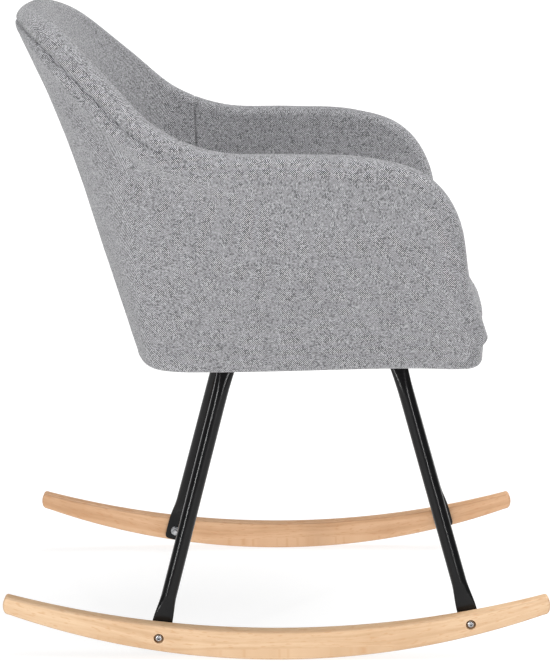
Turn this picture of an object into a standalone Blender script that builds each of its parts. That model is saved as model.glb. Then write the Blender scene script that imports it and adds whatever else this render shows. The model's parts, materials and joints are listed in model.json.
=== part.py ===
"""Upholstered tub rocking chair on two curved wooden rockers.

Units are metres. +Z is up, +X is the sitter's left and the chair faces -Y.
The origin is on the floor, midway between the rockers.
"""

import math

import bmesh
import bpy
import numpy as np
from mathutils import Matrix, Vector

GAP = 0.0003  # clearance between pieces that touch in the real chair
LAYER_GAP = 0.0010  # clearance between the curved layers of the tub
RIM_GAP = 0.0026  # clearance where the layers end under the rim

# Rockers: a plank with a curved foot and a flatter curved top edge.
ROCKER_OUTER_X = 0.25
ROCKER_THICKNESS = 0.020
ROCKER_INNER_X = ROCKER_OUTER_X - ROCKER_THICKNESS
ROCKER_HALF_CHORD = 0.330
ROCKER_DEPTH = 0.0365
ROCKER_FOOT_RADIUS = 0.97
ROCKER_TOP_RADIUS = 1.28
ROCKER_FOOT_FACETS = 17  # odd, so that one flat facet lies on the floor
ROCKER_TOP_FACETS = 20
ROCKER_TIP_REACH = 0.0098
ROCKER_BEVEL = 0.0022

# Legs: round tube pressed flat at both ends.
TUBE_RADIUS = 0.0095
TAB_HALF_WIDTH = 0.0142
TAB_HALF_THICKNESS = 0.0025
LEG_SIDES = 16
LEG_TOP_X = 0.1815
LEG_TOP_Z = 0.350
LEG_LOW_X = 0.2200
LEG_ROUND_ABOVE_BOLT = 0.060
LEG_TAB_X = ROCKER_INNER_X - GAP - TAB_HALF_THICKNESS
# Fore-and-aft position of each leg's top, and of its bolt through the rocker.
LEG_PLACES = {
    "front": {"top_y": -0.1545, "bolt_y": -0.241, "bolt_z": 0.046},
    "rear": {"top_y": 0.0640, "bolt_y": 0.1465, "bolt_z": 0.028},
}

# Bolt through each rocker and leg.
BOLT_RADIUS = 0.0030
BOLT_HOLE_RADIUS = 0.0033
BOLT_HEAD_RADIUS = 0.0050
BOLT_HEAD_HEIGHT = 0.0055
SOCKET_ACROSS_FLATS = 0.0050
SOCKET_DEPTH = 0.0030
COUNTERBORE_RADIUS = 0.0063
COUNTERBORE_DEPTH = 0.0065
WASHER_RADIUS = 0.0062
WASHER_THICKNESS = 0.0015
NUT_ACROSS_FLATS = 0.010
NUT_HEIGHT = 0.005

# Seat board, and what is fastened to it.
BOARD_BOTTOM_Z = 0.3765
BOARD_THICKNESS = 0.014
BOARD_TOP_Z = BOARD_BOTTOM_Z + BOARD_THICKNESS
BOARD_FRONT_CORNER = ((0.1900, -0.2215), (0.183, -0.2285), (0.168, -0.2330), (0.148, -0.2365))
DUST_COVER_THICKNESS = 0.0009
DUST_COVER_INSET = 0.012
TAB_TOP_Z = BOARD_BOTTOM_Z - DUST_COVER_THICKNESS - 2 * GAP
TAB_MID_Z = TAB_TOP_Z - TAB_HALF_THICKNESS
SEAT_SCREW_X = (0.130, 0.157)
SEAT_SCREW_HEAD_HEIGHT = 0.0034
TEE_NUT_FLANGE_RADIUS = 0.0085
TEE_NUT_FLANGE_THICKNESS = 0.0013
TEE_NUT_BARREL_RADIUS = 0.0042

# Tub wall. Depths are measured inwards from the outer surface.
RIM_RADIUS = 0.022
OUTER_PAD_DEPTH = 0.006
FRAME_DEPTH = (OUTER_PAD_DEPTH + LAYER_GAP, 0.0140)
INNER_PAD_START = FRAME_DEPTH[1] + LAYER_GAP
BOARD_EDGE_DEPTH = 0.0154
HEM_RADIUS = 0.0103
BACK_DISH = 0.009  # how far the outer surface hollows half-way up the back
ARM_PAD_SWELL = 0.002
BACK_PAD_SWELL = -0.004
STATIONS_PER_SIDE = 25
PANEL_SPLIT_STATION = 11  # counted from the middle of the back; back panel meets arm panel
PANEL_SPLIT_GAP = 0.0006  # as a share of the way round

# Each row is one station round the left half of the tub, from the middle of the back
# to the lower front corner of the arm: how far round it is, the centre of the rounded
# rim (x, y, z), and the centre line of the hem's outer face (x, y, z).
TUB_ROWS = (
    (0.00, 0.000, 0.309, 0.7780, 0.000, 0.1815, 0.3665),
    (0.10, 0.086, 0.303, 0.7755, 0.065, 0.1795, 0.3665),
    (0.20, 0.162, 0.275, 0.7565, 0.132, 0.1740, 0.3665),
    (0.30, 0.223, 0.218, 0.7040, 0.187, 0.1580, 0.3665),
    (0.40, 0.266, 0.153, 0.6470, 0.210, 0.1240, 0.3665),
    (0.50, 0.286, 0.075, 0.6180, 0.214, 0.0730, 0.3670),
    (0.60, 0.290, -0.020, 0.6150, 0.216, 0.0050, 0.3685),
    (0.70, 0.288, -0.105, 0.6110, 0.216, -0.0700, 0.3705),
    (0.78, 0.282, -0.164, 0.5930, 0.216, -0.1300, 0.3720),
    (0.86, 0.270, -0.1975, 0.5470, 0.215, -0.1800, 0.3720),
    (0.93, 0.251, -0.2115, 0.4740, 0.2145, -0.2130, 0.3710),
    (1.00, 0.222, -0.2360, 0.4060, 0.2115, -0.2325, 0.3705),
)

# Front band: an upholstered rail under the front of the cushion.
BAND_FRONT_Y = -0.268
BAND_BOW = 0.42
BAND_HALF_SPAN = 0.160
BAND_LOW_Z = 0.3705
BAND_TOP_Z = 0.3892
BAND_THICKNESS = 0.0206

# Seat cushion.
CUSHION_BOTTOM_Z = BOARD_TOP_Z + GAP
CUSHION_FRONT_Y = -0.266
CUSHION_REAR_Y = 0.138
CUSHION_HALF_WIDTH = 0.173
CUSHION_CORNER_RADIUS = 0.060
CUSHION_FRONT_CORNER_RADIUS = 0.035
CUSHION_HEIGHT = 0.045
CUSHION_CROWN = 0.014

SIDES = {"left": 1, "right": -1}


# ---------------------------------------------------------------- materials


def make_material(name, colour, roughness, metallic=0.0):
    material = bpy.data.materials.new(name)
    material.use_nodes = True
    shader = material.node_tree.nodes["Principled BSDF"]
    shader.inputs["Base Color"].default_value = (*colour, 1.0)
    shader.inputs["Roughness"].default_value = roughness
    shader.inputs["Metallic"].default_value = metallic
    return material


# ---------------------------------------------------------------- mesh helpers


def add_object(name, points, faces, material):
    """One closed mesh object with its normals facing out."""
    mesh = bpy.data.meshes.new(name)
    mesh.from_pydata([tuple(p) for p in points], [], [tuple(f) for f in faces])
    shape = bmesh.new()
    shape.from_mesh(mesh)
    bmesh.ops.remove_doubles(shape, verts=shape.verts, dist=1e-7)
    bmesh.ops.triangulate(shape, faces=[f for f in shape.faces if len(f.verts) > 4])
    bmesh.ops.recalc_face_normals(shape, faces=shape.faces)
    if shape.calc_volume(signed=True) < 0:
        bmesh.ops.reverse_faces(shape, faces=shape.faces)
    shape.to_mesh(mesh)
    shape.free()
    mesh.materials.append(material)
    obj = bpy.data.objects.new(name, mesh)
    bpy.context.scene.collection.objects.link(obj)
    return obj


def loft(name, rings, material):
    """Joins closed rings of equal length into a solid with flat ends.

    Each four-sided patch is split along its shorter diagonal, so that two layers that
    lie close together bend in the same way.
    """
    count = len(rings[0])
    points = [p for ring in rings for p in ring]
    faces = []
    for i in range(len(rings) - 1):
        for j in range(count):
            k = (j + 1) % count
            patch = (i * count + j, i * count + k, (i + 1) * count + k, (i + 1) * count + j)
            a, b, c, d = (Vector(points[index]) for index in patch)
            if (c - a).length <= (d - b).length:
                faces += [(patch[0], patch[1], patch[2]), (patch[0], patch[2], patch[3])]
            else:
                faces += [(patch[0], patch[1], patch[3]), (patch[1], patch[2], patch[3])]
    faces.append(tuple(range(count)))
    last = (len(rings) - 1) * count
    faces.append(tuple(last + j for j in range(count)))
    return add_object(name, points, faces, material)


def circle(radius, sides, turn=0.0):
    angles = [turn + 2 * math.pi * i / sides for i in range(sides)]
    return [(radius * math.cos(a), radius * math.sin(a)) for a in angles]


def hexagon(across_flats):
    return circle(across_flats / math.sqrt(3), 6, math.pi / 6)


def tube(name, outline_out, outline_in, low, high, material, place):
    """A short pipe between two outlines that have the same number of points."""
    count = len(outline_out)
    points = []
    for outline, z in ((outline_out, low), (outline_out, high), (outline_in, high), (outline_in, low)):
        points += [place @ Vector((x, y, z)) for x, y in outline]
    faces = []
    for ring in range(4):
        following = (ring + 1) % 4
        for j in range(count):
            k = (j + 1) % count
            faces.append(
                (ring * count + j, ring * count + k, following * count + k, following * count + j)
            )
    return add_object(name, points, faces, material)


def cut_cylinders(obj, places, radius, length, sides=16):
    """Cuts round holes; each place is a matrix whose local Z is the hole's axis."""
    for place in places:
        bpy.ops.mesh.primitive_cylinder_add(vertices=sides, radius=radius, depth=length)
        cutter = bpy.context.object
        cutter.matrix_world = place
        cutter.name = obj.name + "_cutter"
        cutter.hide_render = True
        cutter.display_type = "WIRE"
        cut = obj.modifiers.new("hole", "BOOLEAN")
        cut.operation = "DIFFERENCE"
        cut.solver = "EXACT"
        cut.object = cutter


def along_x(side, x, y, z):
    """A matrix whose local Z points outwards along X on that side of the chair."""
    return Matrix.Translation((side * x, y, z)) @ Matrix.Rotation(side * math.pi / 2, 4, "Y")


def along_z(x, y, z):
    return Matrix.Translation((x, y, z))


def bolt(name, head_radius, head_height, length, material, place):
    """Bolt with a hexagon socket: the head is above local z = 0 and the shank below it."""
    socket = hexagon(SOCKET_ACROSS_FLATS)
    sides = 12
    head = circle(head_radius, sides)
    rim = circle(head_radius - 0.0006, sides)
    shank = circle(BOLT_RADIUS, sides)
    socket_ring = []
    for i in range(sides):
        start, end = Vector(socket[i // 2]), Vector(socket[(i // 2 + 1) % 6])
        socket_ring.append(tuple(start.lerp(end, (i % 2) / 2)))
    rings = [
        (shank, -length),
        (shank, 0.0),
        (head, 0.0),
        (head, head_height - 0.0006),
        (rim, head_height),
        (socket_ring, head_height),
        (socket_ring, head_height - SOCKET_DEPTH),
    ]
    turn = math.pi / 6
    spin = Matrix.Rotation(turn, 4, "Z")
    built = []
    for outline, z in rings:
        matrix = place if outline is socket_ring else place @ spin
        built.append([matrix @ Vector((x, y, z)) for x, y in outline])
    return loft(name, built, material)


# ---------------------------------------------------------------- rockers


def arc_points(radius, half_chord, facets, lift):
    """Points (y, z) of a sagging arc from front to rear, lowest in the middle."""
    half_angle = math.asin(half_chord / radius)
    angles = [half_angle * (2 * i / facets - 1) for i in range(facets + 1)]
    return [(radius * math.sin(a), lift + radius * (1 - math.cos(a))) for a in angles]


def rocker_outline():
    foot = arc_points(ROCKER_FOOT_RADIUS, ROCKER_HALF_CHORD, ROCKER_FOOT_FACETS, 0.0)
    lowest = min(z for _, z in foot)
    foot = [(y, z - lowest) for y, z in foot]
    top = arc_points(ROCKER_TOP_RADIUS, ROCKER_HALF_CHORD, ROCKER_TOP_FACETS, ROCKER_DEPTH)
    rear_tip = rounded_tip(foot[-1], top[-1])
    front_tip = [(-y, z) for y, z in reversed(rear_tip)]
    return foot + rear_tip + top[::-1] + front_tip


def rounded_tip(low, high):
    """Points that round off the rear end between the foot and the top edge."""
    middle_y, middle_z = (low[0] + high[0]) / 2, (low[1] + high[1]) / 2
    half = (high[1] - low[1]) / 2
    slope = math.asin(ROCKER_HALF_CHORD / ROCKER_FOOT_RADIUS) * 0.85
    tip = []
    for angle in (-72, -45, -15, 15, 45, 72):
        reach = ROCKER_TIP_REACH * math.cos(math.radians(angle)) ** 0.6
        climb = half * math.sin(math.radians(angle))
        tip.append(
            (
                middle_y + reach * math.cos(slope) - climb * math.sin(slope) * 0.3,
                middle_z + reach * math.sin(slope) + climb,
            )
        )
    return tip


def shrunk(outline, amount):
    """The outline moved inwards by the amount, corner by corner."""
    count = len(outline)
    points = []
    for i, (y, z) in enumerate(outline):
        before, after = Vector(outline[i - 1]), Vector(outline[(i + 1) % count])
        first, second = (Vector((y, z)) - before).normalized(), (after - Vector((y, z))).normalized()
        normal = Vector((-(first.y + second.y), first.x + second.x)).normalized()
        stretch = 1 / max(0.6, normal.dot(Vector((-first.y, first.x))))
        points.append(tuple(Vector((y, z)) + normal * amount * stretch))
    return points


def make_rockers(material):
    outline = rocker_outline()
    inset = shrunk(outline, ROCKER_BEVEL)
    for name, side in SIDES.items():
        rings = []
        for x, shape in (
            (ROCKER_INNER_X, inset),
            (ROCKER_INNER_X + ROCKER_BEVEL, outline),
            (ROCKER_OUTER_X - ROCKER_BEVEL, outline),
            (ROCKER_OUTER_X, inset),
        ):
            rings.append([Vector((side * x, y, z)) for y, z in shape])
        rocker = loft(f"rocker_{name}", rings, material)
        spots = [(p["bolt_y"], p["bolt_z"]) for p in LEG_PLACES.values()]
        middle = (ROCKER_INNER_X + ROCKER_OUTER_X) / 2
        holes = [along_x(side, middle, y, z) for y, z in spots]
        cut_cylinders(rocker, holes, BOLT_HOLE_RADIUS, 2 * ROCKER_THICKNESS)
        bores = [along_x(side, ROCKER_OUTER_X, y, z) for y, z in spots]
        cut_cylinders(rocker, bores, COUNTERBORE_RADIUS, 2 * COUNTERBORE_DEPTH)


# ---------------------------------------------------------------- legs


def tube_section(half_width, half_thickness, squareness):
    """Cross-section of the tube, from round (squareness 2) to a flat strap."""
    points = []
    for i in range(LEG_SIDES):
        angle = 2 * math.pi * (i + 0.5) / LEG_SIDES
        c, s = math.cos(angle), math.sin(angle)
        power = 2 / squareness
        points.append(
            (
                half_width * math.copysign(abs(c) ** power, c),
                half_thickness * math.copysign(abs(s) ** power, s),
            )
        )
    return points


def leg_stops(place):
    """Stops along one leg: centre, width direction, half width, half thickness, squareness."""
    top_y, bolt_y, bolt_z = place["top_y"], place["bolt_y"], place["bolt_z"]
    lean = (bolt_y - top_y) / (bolt_z - LEG_TOP_Z)
    across = Vector((0, 1, -lean)).normalized()
    level = Vector((0, 1, 0))
    half_way = (across + level).normalized()

    def at(x, z):
        return Vector((x, top_y + lean * (z - LEG_TOP_Z), z))

    tab_y = top_y + lean * (TAB_MID_Z - LEG_TOP_Z)
    reach = 0.0140
    end_z = bolt_z - reach * math.cos(math.atan(lean))
    wide, thin, strap = TAB_HALF_WIDTH, TAB_HALF_THICKNESS, 5.0
    tube_r = TUBE_RADIUS
    round_z = bolt_z + LEG_ROUND_ABOVE_BOLT
    return [
        (Vector((0.1130, tab_y, TAB_MID_Z)), level, 0.0100, thin, strap),
        (Vector((0.1165, tab_y, TAB_MID_Z)), level, 0.0132, thin, strap),
        (Vector((0.1210, tab_y, TAB_MID_Z)), level, wide, thin, strap),
        (Vector((0.1680, tab_y, TAB_MID_Z)), level, wide, thin, strap),
        (Vector((0.1755, tab_y, TAB_MID_Z - 0.0022)), half_way, 0.0138, 0.0030, 4.0),
        (at(0.1795, TAB_MID_Z - 0.0090), across, 0.0130, 0.0045, 3.0),
        (at(LEG_TOP_X, LEG_TOP_Z), across, 0.0116, 0.0068, 2.4),
        (at(LEG_TOP_X + 0.0035, 0.328), across, tube_r, tube_r, 2.0),
        (at(LEG_LOW_X, round_z), across, tube_r, tube_r, 2.0),
        (at(LEG_LOW_X + 0.0022, round_z - 0.013), across, 0.0106, 0.0073, 2.4),
        (at(LEG_TAB_X - 0.0014, round_z - 0.027), across, 0.0130, 0.0039, 3.2),
        (at(LEG_TAB_X, round_z - 0.038), across, wide, thin, strap),
        (at(LEG_TAB_X, end_z + 0.0055), across, wide, thin, strap),
        (at(LEG_TAB_X, end_z + 0.0015), across, 0.0125, thin, strap),
        (at(LEG_TAB_X, end_z), across, 0.0095, thin, strap),
    ]


def leg_rings(place, side):
    stops = leg_stops(place)
    rings = []
    for i, (centre, width_way, half_width, half_thickness, squareness) in enumerate(stops):
        before = stops[max(i - 1, 0)][0]
        after = stops[min(i + 1, len(stops) - 1)][0]
        forward = (after - before).normalized()
        thin_way = forward.cross(width_way).normalized()
        if i in (0, 1, 2, 3) or i >= len(stops) - 4:
            thin_way = Vector((0, 0, 1)) if i < 4 else Vector((1, 0, 0))
        ring = []
        for w, t in tube_section(half_width, half_thickness, squareness):
            point = centre + width_way * w + thin_way * t
            ring.append(Vector((side * point.x, point.y, point.z)))
        rings.append(ring)
    return rings


def make_legs(material):
    for end, place in LEG_PLACES.items():
        for name, side in SIDES.items():
            leg = loft(f"leg_{end}_{name}", leg_rings(place, side), material)
            low = [along_x(side, LEG_TAB_X, place["bolt_y"], place["bolt_z"])]
            cut_cylinders(leg, low, BOLT_HOLE_RADIUS, 0.02)
            y = seat_screw_y(place)
            high = [along_z(side * x, y, TAB_MID_Z) for x in SEAT_SCREW_X]
            cut_cylinders(leg, high, BOLT_HOLE_RADIUS, 0.02)


def seat_screw_y(place):
    lean = (place["bolt_y"] - place["top_y"]) / (place["bolt_z"] - LEG_TOP_Z)
    return place["top_y"] + lean * (TAB_MID_Z - LEG_TOP_Z)


# ---------------------------------------------------------------- fasteners


def make_rocker_fasteners(steel):
    washer_out, washer_in = circle(WASHER_RADIUS, 14), circle(BOLT_HOLE_RADIUS, 14)
    nut_in = circle(BOLT_HOLE_RADIUS, 12, math.pi / 6)
    corners = hexagon(NUT_ACROSS_FLATS)
    nut_out = []
    for i in range(12):
        start, end = Vector(corners[i // 2]), Vector(corners[(i // 2 + 1) % 6])
        nut_out.append(tuple(start.lerp(end, (i % 2) / 2)))
    seat_x = ROCKER_OUTER_X - COUNTERBORE_DEPTH + GAP
    tab_face_x = LEG_TAB_X - TAB_HALF_THICKNESS - GAP
    nut_high = -WASHER_THICKNESS - GAP
    shank = seat_x - tab_face_x + WASHER_THICKNESS + NUT_HEIGHT + 0.0025
    for end, place in LEG_PLACES.items():
        y, z = place["bolt_y"], place["bolt_z"]
        for name, side in SIDES.items():
            tag = f"{end}_{name}"
            head_place = along_x(side, seat_x, y, z)
            bolt(f"rocker_bolt_{tag}", BOLT_HEAD_RADIUS, BOLT_HEAD_HEIGHT, shank, steel, head_place)
            inner = along_x(side, tab_face_x, y, z)
            tube(f"rocker_washer_{tag}", washer_out, washer_in, -WASHER_THICKNESS, 0, steel, inner)
            tube(f"rocker_nut_{tag}", nut_out, nut_in, nut_high - NUT_HEIGHT, nut_high, steel, inner)


def make_seat_fasteners(steel):
    """Two screws, washers and tee nuts hold the upper tab of each leg to the seat board."""
    washer_out, washer_in = circle(WASHER_RADIUS, 14), circle(BOLT_HOLE_RADIUS, 14)
    washer_top = TAB_MID_Z - TAB_HALF_THICKNESS - GAP
    head_top = washer_top - WASHER_THICKNESS - GAP
    flange_low = BOARD_TOP_Z - TEE_NUT_FLANGE_THICKNESS
    shank = flange_low + 0.0008 - head_top
    flip = Matrix.Rotation(math.pi, 4, "X")
    for end, place in LEG_PLACES.items():
        y = seat_screw_y(place)
        for name, side in SIDES.items():
            for number, x in enumerate(SEAT_SCREW_X, 1):
                tag = f"{end}_{name}_{number}"
                here = along_z(side * x, y, 0)
                under = along_z(side * x, y, head_top) @ flip
                bolt(f"seat_screw_{tag}", 0.0052, SEAT_SCREW_HEAD_HEIGHT, shank, steel, under)
                low = washer_top - WASHER_THICKNESS
                tube(f"seat_washer_{tag}", washer_out, washer_in, low, washer_top, steel, here)
                make_tee_nut(f"tee_nut_{tag}", flange_low, steel, here)


def make_tee_nut(name, flange_low, steel, place):
    """A barrel let into the board from above, with a wide flange at its top."""
    sides = 12
    barrel_low = BOARD_BOTTOM_Z + 0.003
    flange_high = flange_low + TEE_NUT_FLANGE_THICKNESS
    rings = []
    for radius, z in (
        (BOLT_HOLE_RADIUS, barrel_low),
        (TEE_NUT_BARREL_RADIUS, barrel_low),
        (TEE_NUT_BARREL_RADIUS, flange_low),
        (TEE_NUT_FLANGE_RADIUS, flange_low),
        (TEE_NUT_FLANGE_RADIUS, flange_high),
        (BOLT_HOLE_RADIUS, flange_high),
    ):
        rings.append([place @ Vector((x, y, z)) for x, y in circle(radius, sides)])
    points = [p for ring in rings for p in ring]
    faces = []
    for i in range(len(rings)):
        following = (i + 1) % len(rings)
        for j in range(sides):
            k = (j + 1) % sides
            faces.append((i * sides + j, i * sides + k, following * sides + k, following * sides + j))
    return add_object(name, points, faces, steel)


# ---------------------------------------------------------------- tub surfaces


def tub_row(amount):
    """The interpolated row of TUB_ROWS at -1 to 1 round the tub; negative is the right arm."""
    rows = np.array(TUB_ROWS)
    mirrored = rows[:0:-1] * (-1, -1, 1, 1, -1, 1, 1)
    table = np.vstack([mirrored, rows])
    at = table[:, 0]
    values = table[:, 1:]
    slopes = np.gradient(values, at, axis=0)
    i = int(np.clip(np.searchsorted(at, amount, side="right") - 1, 0, len(at) - 2))
    width = at[i + 1] - at[i]
    t = (amount - at[i]) / width
    start = (2 * t**3 - 3 * t**2 + 1) * values[i] + (t**3 - 2 * t**2 + t) * width * slopes[i]
    end = (-2 * t**3 + 3 * t**2) * values[i + 1] + (t**3 - t**2) * width * slopes[i + 1]
    return start + end


def rim_centre(amount):
    return tub_row(amount)[:3]


def wall_foot(amount):
    return tub_row(amount)[3:]


def unit(vector):
    return vector / np.linalg.norm(vector)


def slope_of(curve, amount):
    low, high = max(amount - 0.01, -1.0), min(amount + 0.01, 1.0)
    return unit(curve(high) - curve(low))


def wall_normal(amount, height):
    """Outward normal of the wall; height runs from 0 at the foot to 1 at the rim."""
    round_way = unit((1 - height) * slope_of(wall_foot, amount) + height * slope_of(rim_centre, amount))
    up_way = unit(rim_centre(amount) - wall_foot(amount))
    return unit(np.cross(up_way, round_way))


def rim_up(amount):
    """Direction in which the wall ends at the rim, square to the rim and to the normal."""
    normal = wall_normal(amount, 1.0)
    along = slope_of(rim_centre, amount)
    up = unit(np.cross(normal, along))
    return up if np.dot(up, rim_centre(amount) - wall_foot(amount)) > 0 else -up


def outer_surface(amount, height):
    foot = wall_foot(amount)
    shoulder = rim_centre(amount) + RIM_RADIUS * wall_normal(amount, 1.0)
    back = max(0.0, 1 - (abs(amount) / 0.5) ** 2)
    dish = BACK_DISH * back * math.sin(math.pi * min(max(height, 0.0), 1.0) ** 1.7)
    return foot + (shoulder - foot) * height - dish * wall_normal(amount, height)


def wall_point(amount, height, depth):
    return outer_surface(amount, height) - depth * wall_normal(amount, height)


def wall_point_at_z(amount, z, depth):
    """The point at that depth in the wall whose height above the floor is z."""
    low, high = -0.3, 1.0
    for _ in range(24):
        middle = (low + high) / 2
        if wall_point(amount, middle, depth)[2] < z:
            low = middle
        else:
            high = middle
    return wall_point(amount, high, depth), high


def pad_depth(amount, height):
    """Depth of the inner padding's face: slightly full in the arms and hollow in the back."""
    back = max(0.0, 1 - (abs(amount) / 0.42) ** 2)
    swell = ARM_PAD_SWELL + (BACK_PAD_SWELL - ARM_PAD_SWELL) * back
    return 2 * RIM_RADIUS + swell * math.sin(math.pi * min(max(height, 0.0), 1.0)) ** 1.5


def short_of_rim(amount, distance):
    """The height that lies this distance below the rim's centre."""
    length = np.linalg.norm(rim_centre(amount) - wall_foot(amount))
    return 1.0 - distance / length


def level_normal(amount):
    normal = wall_normal(amount, 0.0)
    return unit(np.array((normal[0], normal[1], 0.0)))


LAYER_HEIGHTS = (1.0, 0.92, 0.78, 0.6, 0.4, 0.2, 0.08)


def outer_pad_ring(amount):
    """Thin padding outside the frame, turned under its lower edge as a round hem."""
    heights = (short_of_rim(amount, RIM_GAP),) + LAYER_HEIGHTS[1:]
    ring = [wall_point(amount, h, 0.0) for h in heights]
    normal = level_normal(amount)
    foot = wall_foot(amount)
    centre = foot - HEM_RADIUS * normal
    down = np.array((0.0, 0.0, -1.0))
    turns = [math.radians(a) for a in (0, 45, 90, 135, 180)]
    ring += [centre + HEM_RADIUS * (math.cos(a) * normal + math.sin(a) * down) for a in turns]
    inside_top = BOARD_BOTTOM_Z - GAP - 0.0005
    lift = np.array((0, 0, inside_top - foot[2]))
    inner = HEM_RADIUS - OUTER_PAD_DEPTH
    ring.append(foot - 2 * HEM_RADIUS * normal + lift)
    ring.append(foot - (HEM_RADIUS + inner) * normal + lift)
    ring += [centre + inner * (math.cos(a) * normal + math.sin(a) * down) for a in reversed(turns)]
    ring += [wall_point(amount, h, OUTER_PAD_DEPTH) for h in reversed(heights)]
    return ring


def frame_ring(amount):
    """The stiff moulded shell between the paddings."""
    heights = (short_of_rim(amount, 2 * RIM_GAP),) + LAYER_HEIGHTS[1:]
    outside = [wall_point(amount, h, FRAME_DEPTH[0]) for h in heights]
    inside = [wall_point(amount, h, FRAME_DEPTH[1]) for h in heights]
    normal = level_normal(amount)
    foot = wall_foot(amount) + np.array((0, 0, 0.0006))
    outside.append(foot - FRAME_DEPTH[0] * normal)
    inside.append(foot - FRAME_DEPTH[1] * normal)
    return outside + inside[::-1]


def inner_pad_ring(amount):
    """Thick inner padding that wraps over the rim as far as the outer shoulder."""
    floor_z = BOARD_TOP_Z + GAP
    _, low = wall_point_at_z(amount, floor_z, pad_depth(amount, 0.0))
    heights = [h for h in reversed(LAYER_HEIGHTS) if h > low + 0.05]
    heights = [low] * (len(LAYER_HEIGHTS) - len(heights)) + heights
    heights = spread_repeats(heights)
    face = [wall_point(amount, h, pad_depth(amount, h)) for h in heights]
    face[0][2] = floor_z
    centre, normal, up = rim_centre(amount), wall_normal(amount, 1.0), rim_up(amount)
    turns = [math.radians(a) for a in (150, 120, 90, 60, 30, 0)]
    over = [centre + RIM_RADIUS * (math.cos(a) * normal + math.sin(a) * up) for a in turns]
    shelf = wall_point(amount, 1.0, INNER_PAD_START)
    bottom, bottom_height = wall_point_at_z(amount, floor_z, INNER_PAD_START)
    backing_heights = [h for h in LAYER_HEIGHTS[1:] if h > bottom_height + 0.03]
    missing = len(LAYER_HEIGHTS) - 1 - len(backing_heights)
    last = backing_heights[-1]
    backing_heights += [last + (bottom_height - last) * (i + 1) / (missing + 1) for i in range(missing)]
    backing = [wall_point(amount, h, INNER_PAD_START) for h in backing_heights]
    return face + over + [shelf] + backing + [bottom]


def spread_repeats(heights):
    """Spaces out the equal heights at the start of a rising list."""
    repeats = heights.count(heights[0])
    following = heights[repeats]
    return [
        heights[0] + (following - heights[0]) * i / repeats for i in range(repeats)
    ] + heights[repeats:]


def stations(low, high, count):
    return [low + (high - low) * i / (count - 1) for i in range(count)]


def make_tub(fabric, shell_material):
    whole = stations(-1.0, 1.0, 2 * STATIONS_PER_SIDE + 1)
    loft("outer_pad", [outer_pad_ring(a) for a in whole], fabric)
    loft("shell_frame", [frame_ring(a) for a in whole], shell_material)
    middle = STATIONS_PER_SIDE
    split = PANEL_SPLIT_STATION
    arm = whole[middle + split :]
    arm[0] += PANEL_SPLIT_GAP
    back = whole[middle - split : middle + split + 1]
    back[0] += PANEL_SPLIT_GAP
    back[-1] -= PANEL_SPLIT_GAP
    loft("inner_arm_pad_left", [inner_pad_ring(a) for a in arm], fabric)
    loft("inner_arm_pad_right", [inner_pad_ring(-a) for a in arm], fabric)
    loft("inner_back_pad", [inner_pad_ring(a) for a in back], fabric)


# ---------------------------------------------------------------- seat


def board_outline(inset):
    """Plan outline of the seat board, inside the frame by the inset."""
    side = []
    for amount in stations(-0.95, 0.95, 37):
        normal = level_normal(amount)
        foot = wall_point_at_z(amount, BOARD_BOTTOM_Z, 0.0)[0]
        point = foot - (BOARD_EDGE_DEPTH + inset) * normal
        side.append((point[0], point[1]))
    corner = [(x - inset, y + inset) for x, y in BOARD_FRONT_CORNER]
    return side + corner + [(-x, y) for x, y in reversed(corner)]


def make_board(wood):
    outline = board_outline(0.0)
    rings = [[Vector((x, y, z)) for x, y in outline] for z in (BOARD_BOTTOM_Z, BOARD_TOP_Z)]
    board = loft("seat_board", rings, wood)
    spots = seat_screw_spots()
    barrel = TEE_NUT_BARREL_RADIUS + GAP
    cut_cylinders(board, [along_z(x, y, BOARD_TOP_Z) for x, y in spots], barrel, 0.05, 12)
    flange = TEE_NUT_FLANGE_RADIUS + GAP
    depth = 2 * (TEE_NUT_FLANGE_THICKNESS + GAP)
    cut_cylinders(board, [along_z(x, y, BOARD_TOP_Z) for x, y in spots], flange, depth, 12)


def seat_screw_spots():
    spots = []
    for place in LEG_PLACES.values():
        for side in SIDES.values():
            spots += [(side * x, seat_screw_y(place)) for x in SEAT_SCREW_X]
    return spots


def make_dust_cover(cloth):
    outline = board_outline(DUST_COVER_INSET)
    low = BOARD_BOTTOM_Z - GAP - DUST_COVER_THICKNESS
    rings = [[Vector((x, y, z)) for x, y in outline] for z in (low, low + DUST_COVER_THICKNESS)]
    cover = loft("dust_cover", rings, cloth)
    places = [along_z(x, y, low) for x, y in seat_screw_spots()]
    cut_cylinders(cover, places, BOLT_HOLE_RADIUS, 0.02, 12)


def band_path():
    """Centre line in plan of the front band, from the right corner to the left one."""
    straight = []
    for part in stations(-1.0, 1.0, 15):
        x = part * BAND_HALF_SPAN
        straight.append((x, BAND_FRONT_Y + BAND_BOW * x * x + BAND_THICKNESS / 2))
    corner = [(0.178, -0.2458), (0.1915, -0.2432), (0.1990, -0.2395), (0.2012, -0.2340)]
    return [(-x, y) for x, y in reversed(corner)] + straight + corner


def make_front_band(fabric):
    path = [Vector((x, y, 0)) for x, y in band_path()]
    half = BAND_THICKNESS / 2
    rings = []
    for i, point in enumerate(path):
        along = (path[min(i + 1, len(path) - 1)] - path[max(i - 1, 0)]).normalized()
        if i in (0, len(path) - 1):
            along = Vector((0, -1 if i == 0 else 1, 0))
        out = along.cross(Vector((0, 0, 1)))
        profile = [(half * 0.75, BAND_TOP_Z), (half, BAND_TOP_Z - 0.003), (half, BAND_LOW_Z)]
        for angle in (45, 90, 135):
            a = math.radians(angle)
            profile.append((half * math.cos(a), BAND_LOW_Z - half * math.sin(a)))
        profile += [(-half, BAND_LOW_Z), (-half, BAND_TOP_Z)]
        rings.append([point + out * o + Vector((0, 0, z)) for o, z in profile])
    loft("front_band", rings, fabric)


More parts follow.
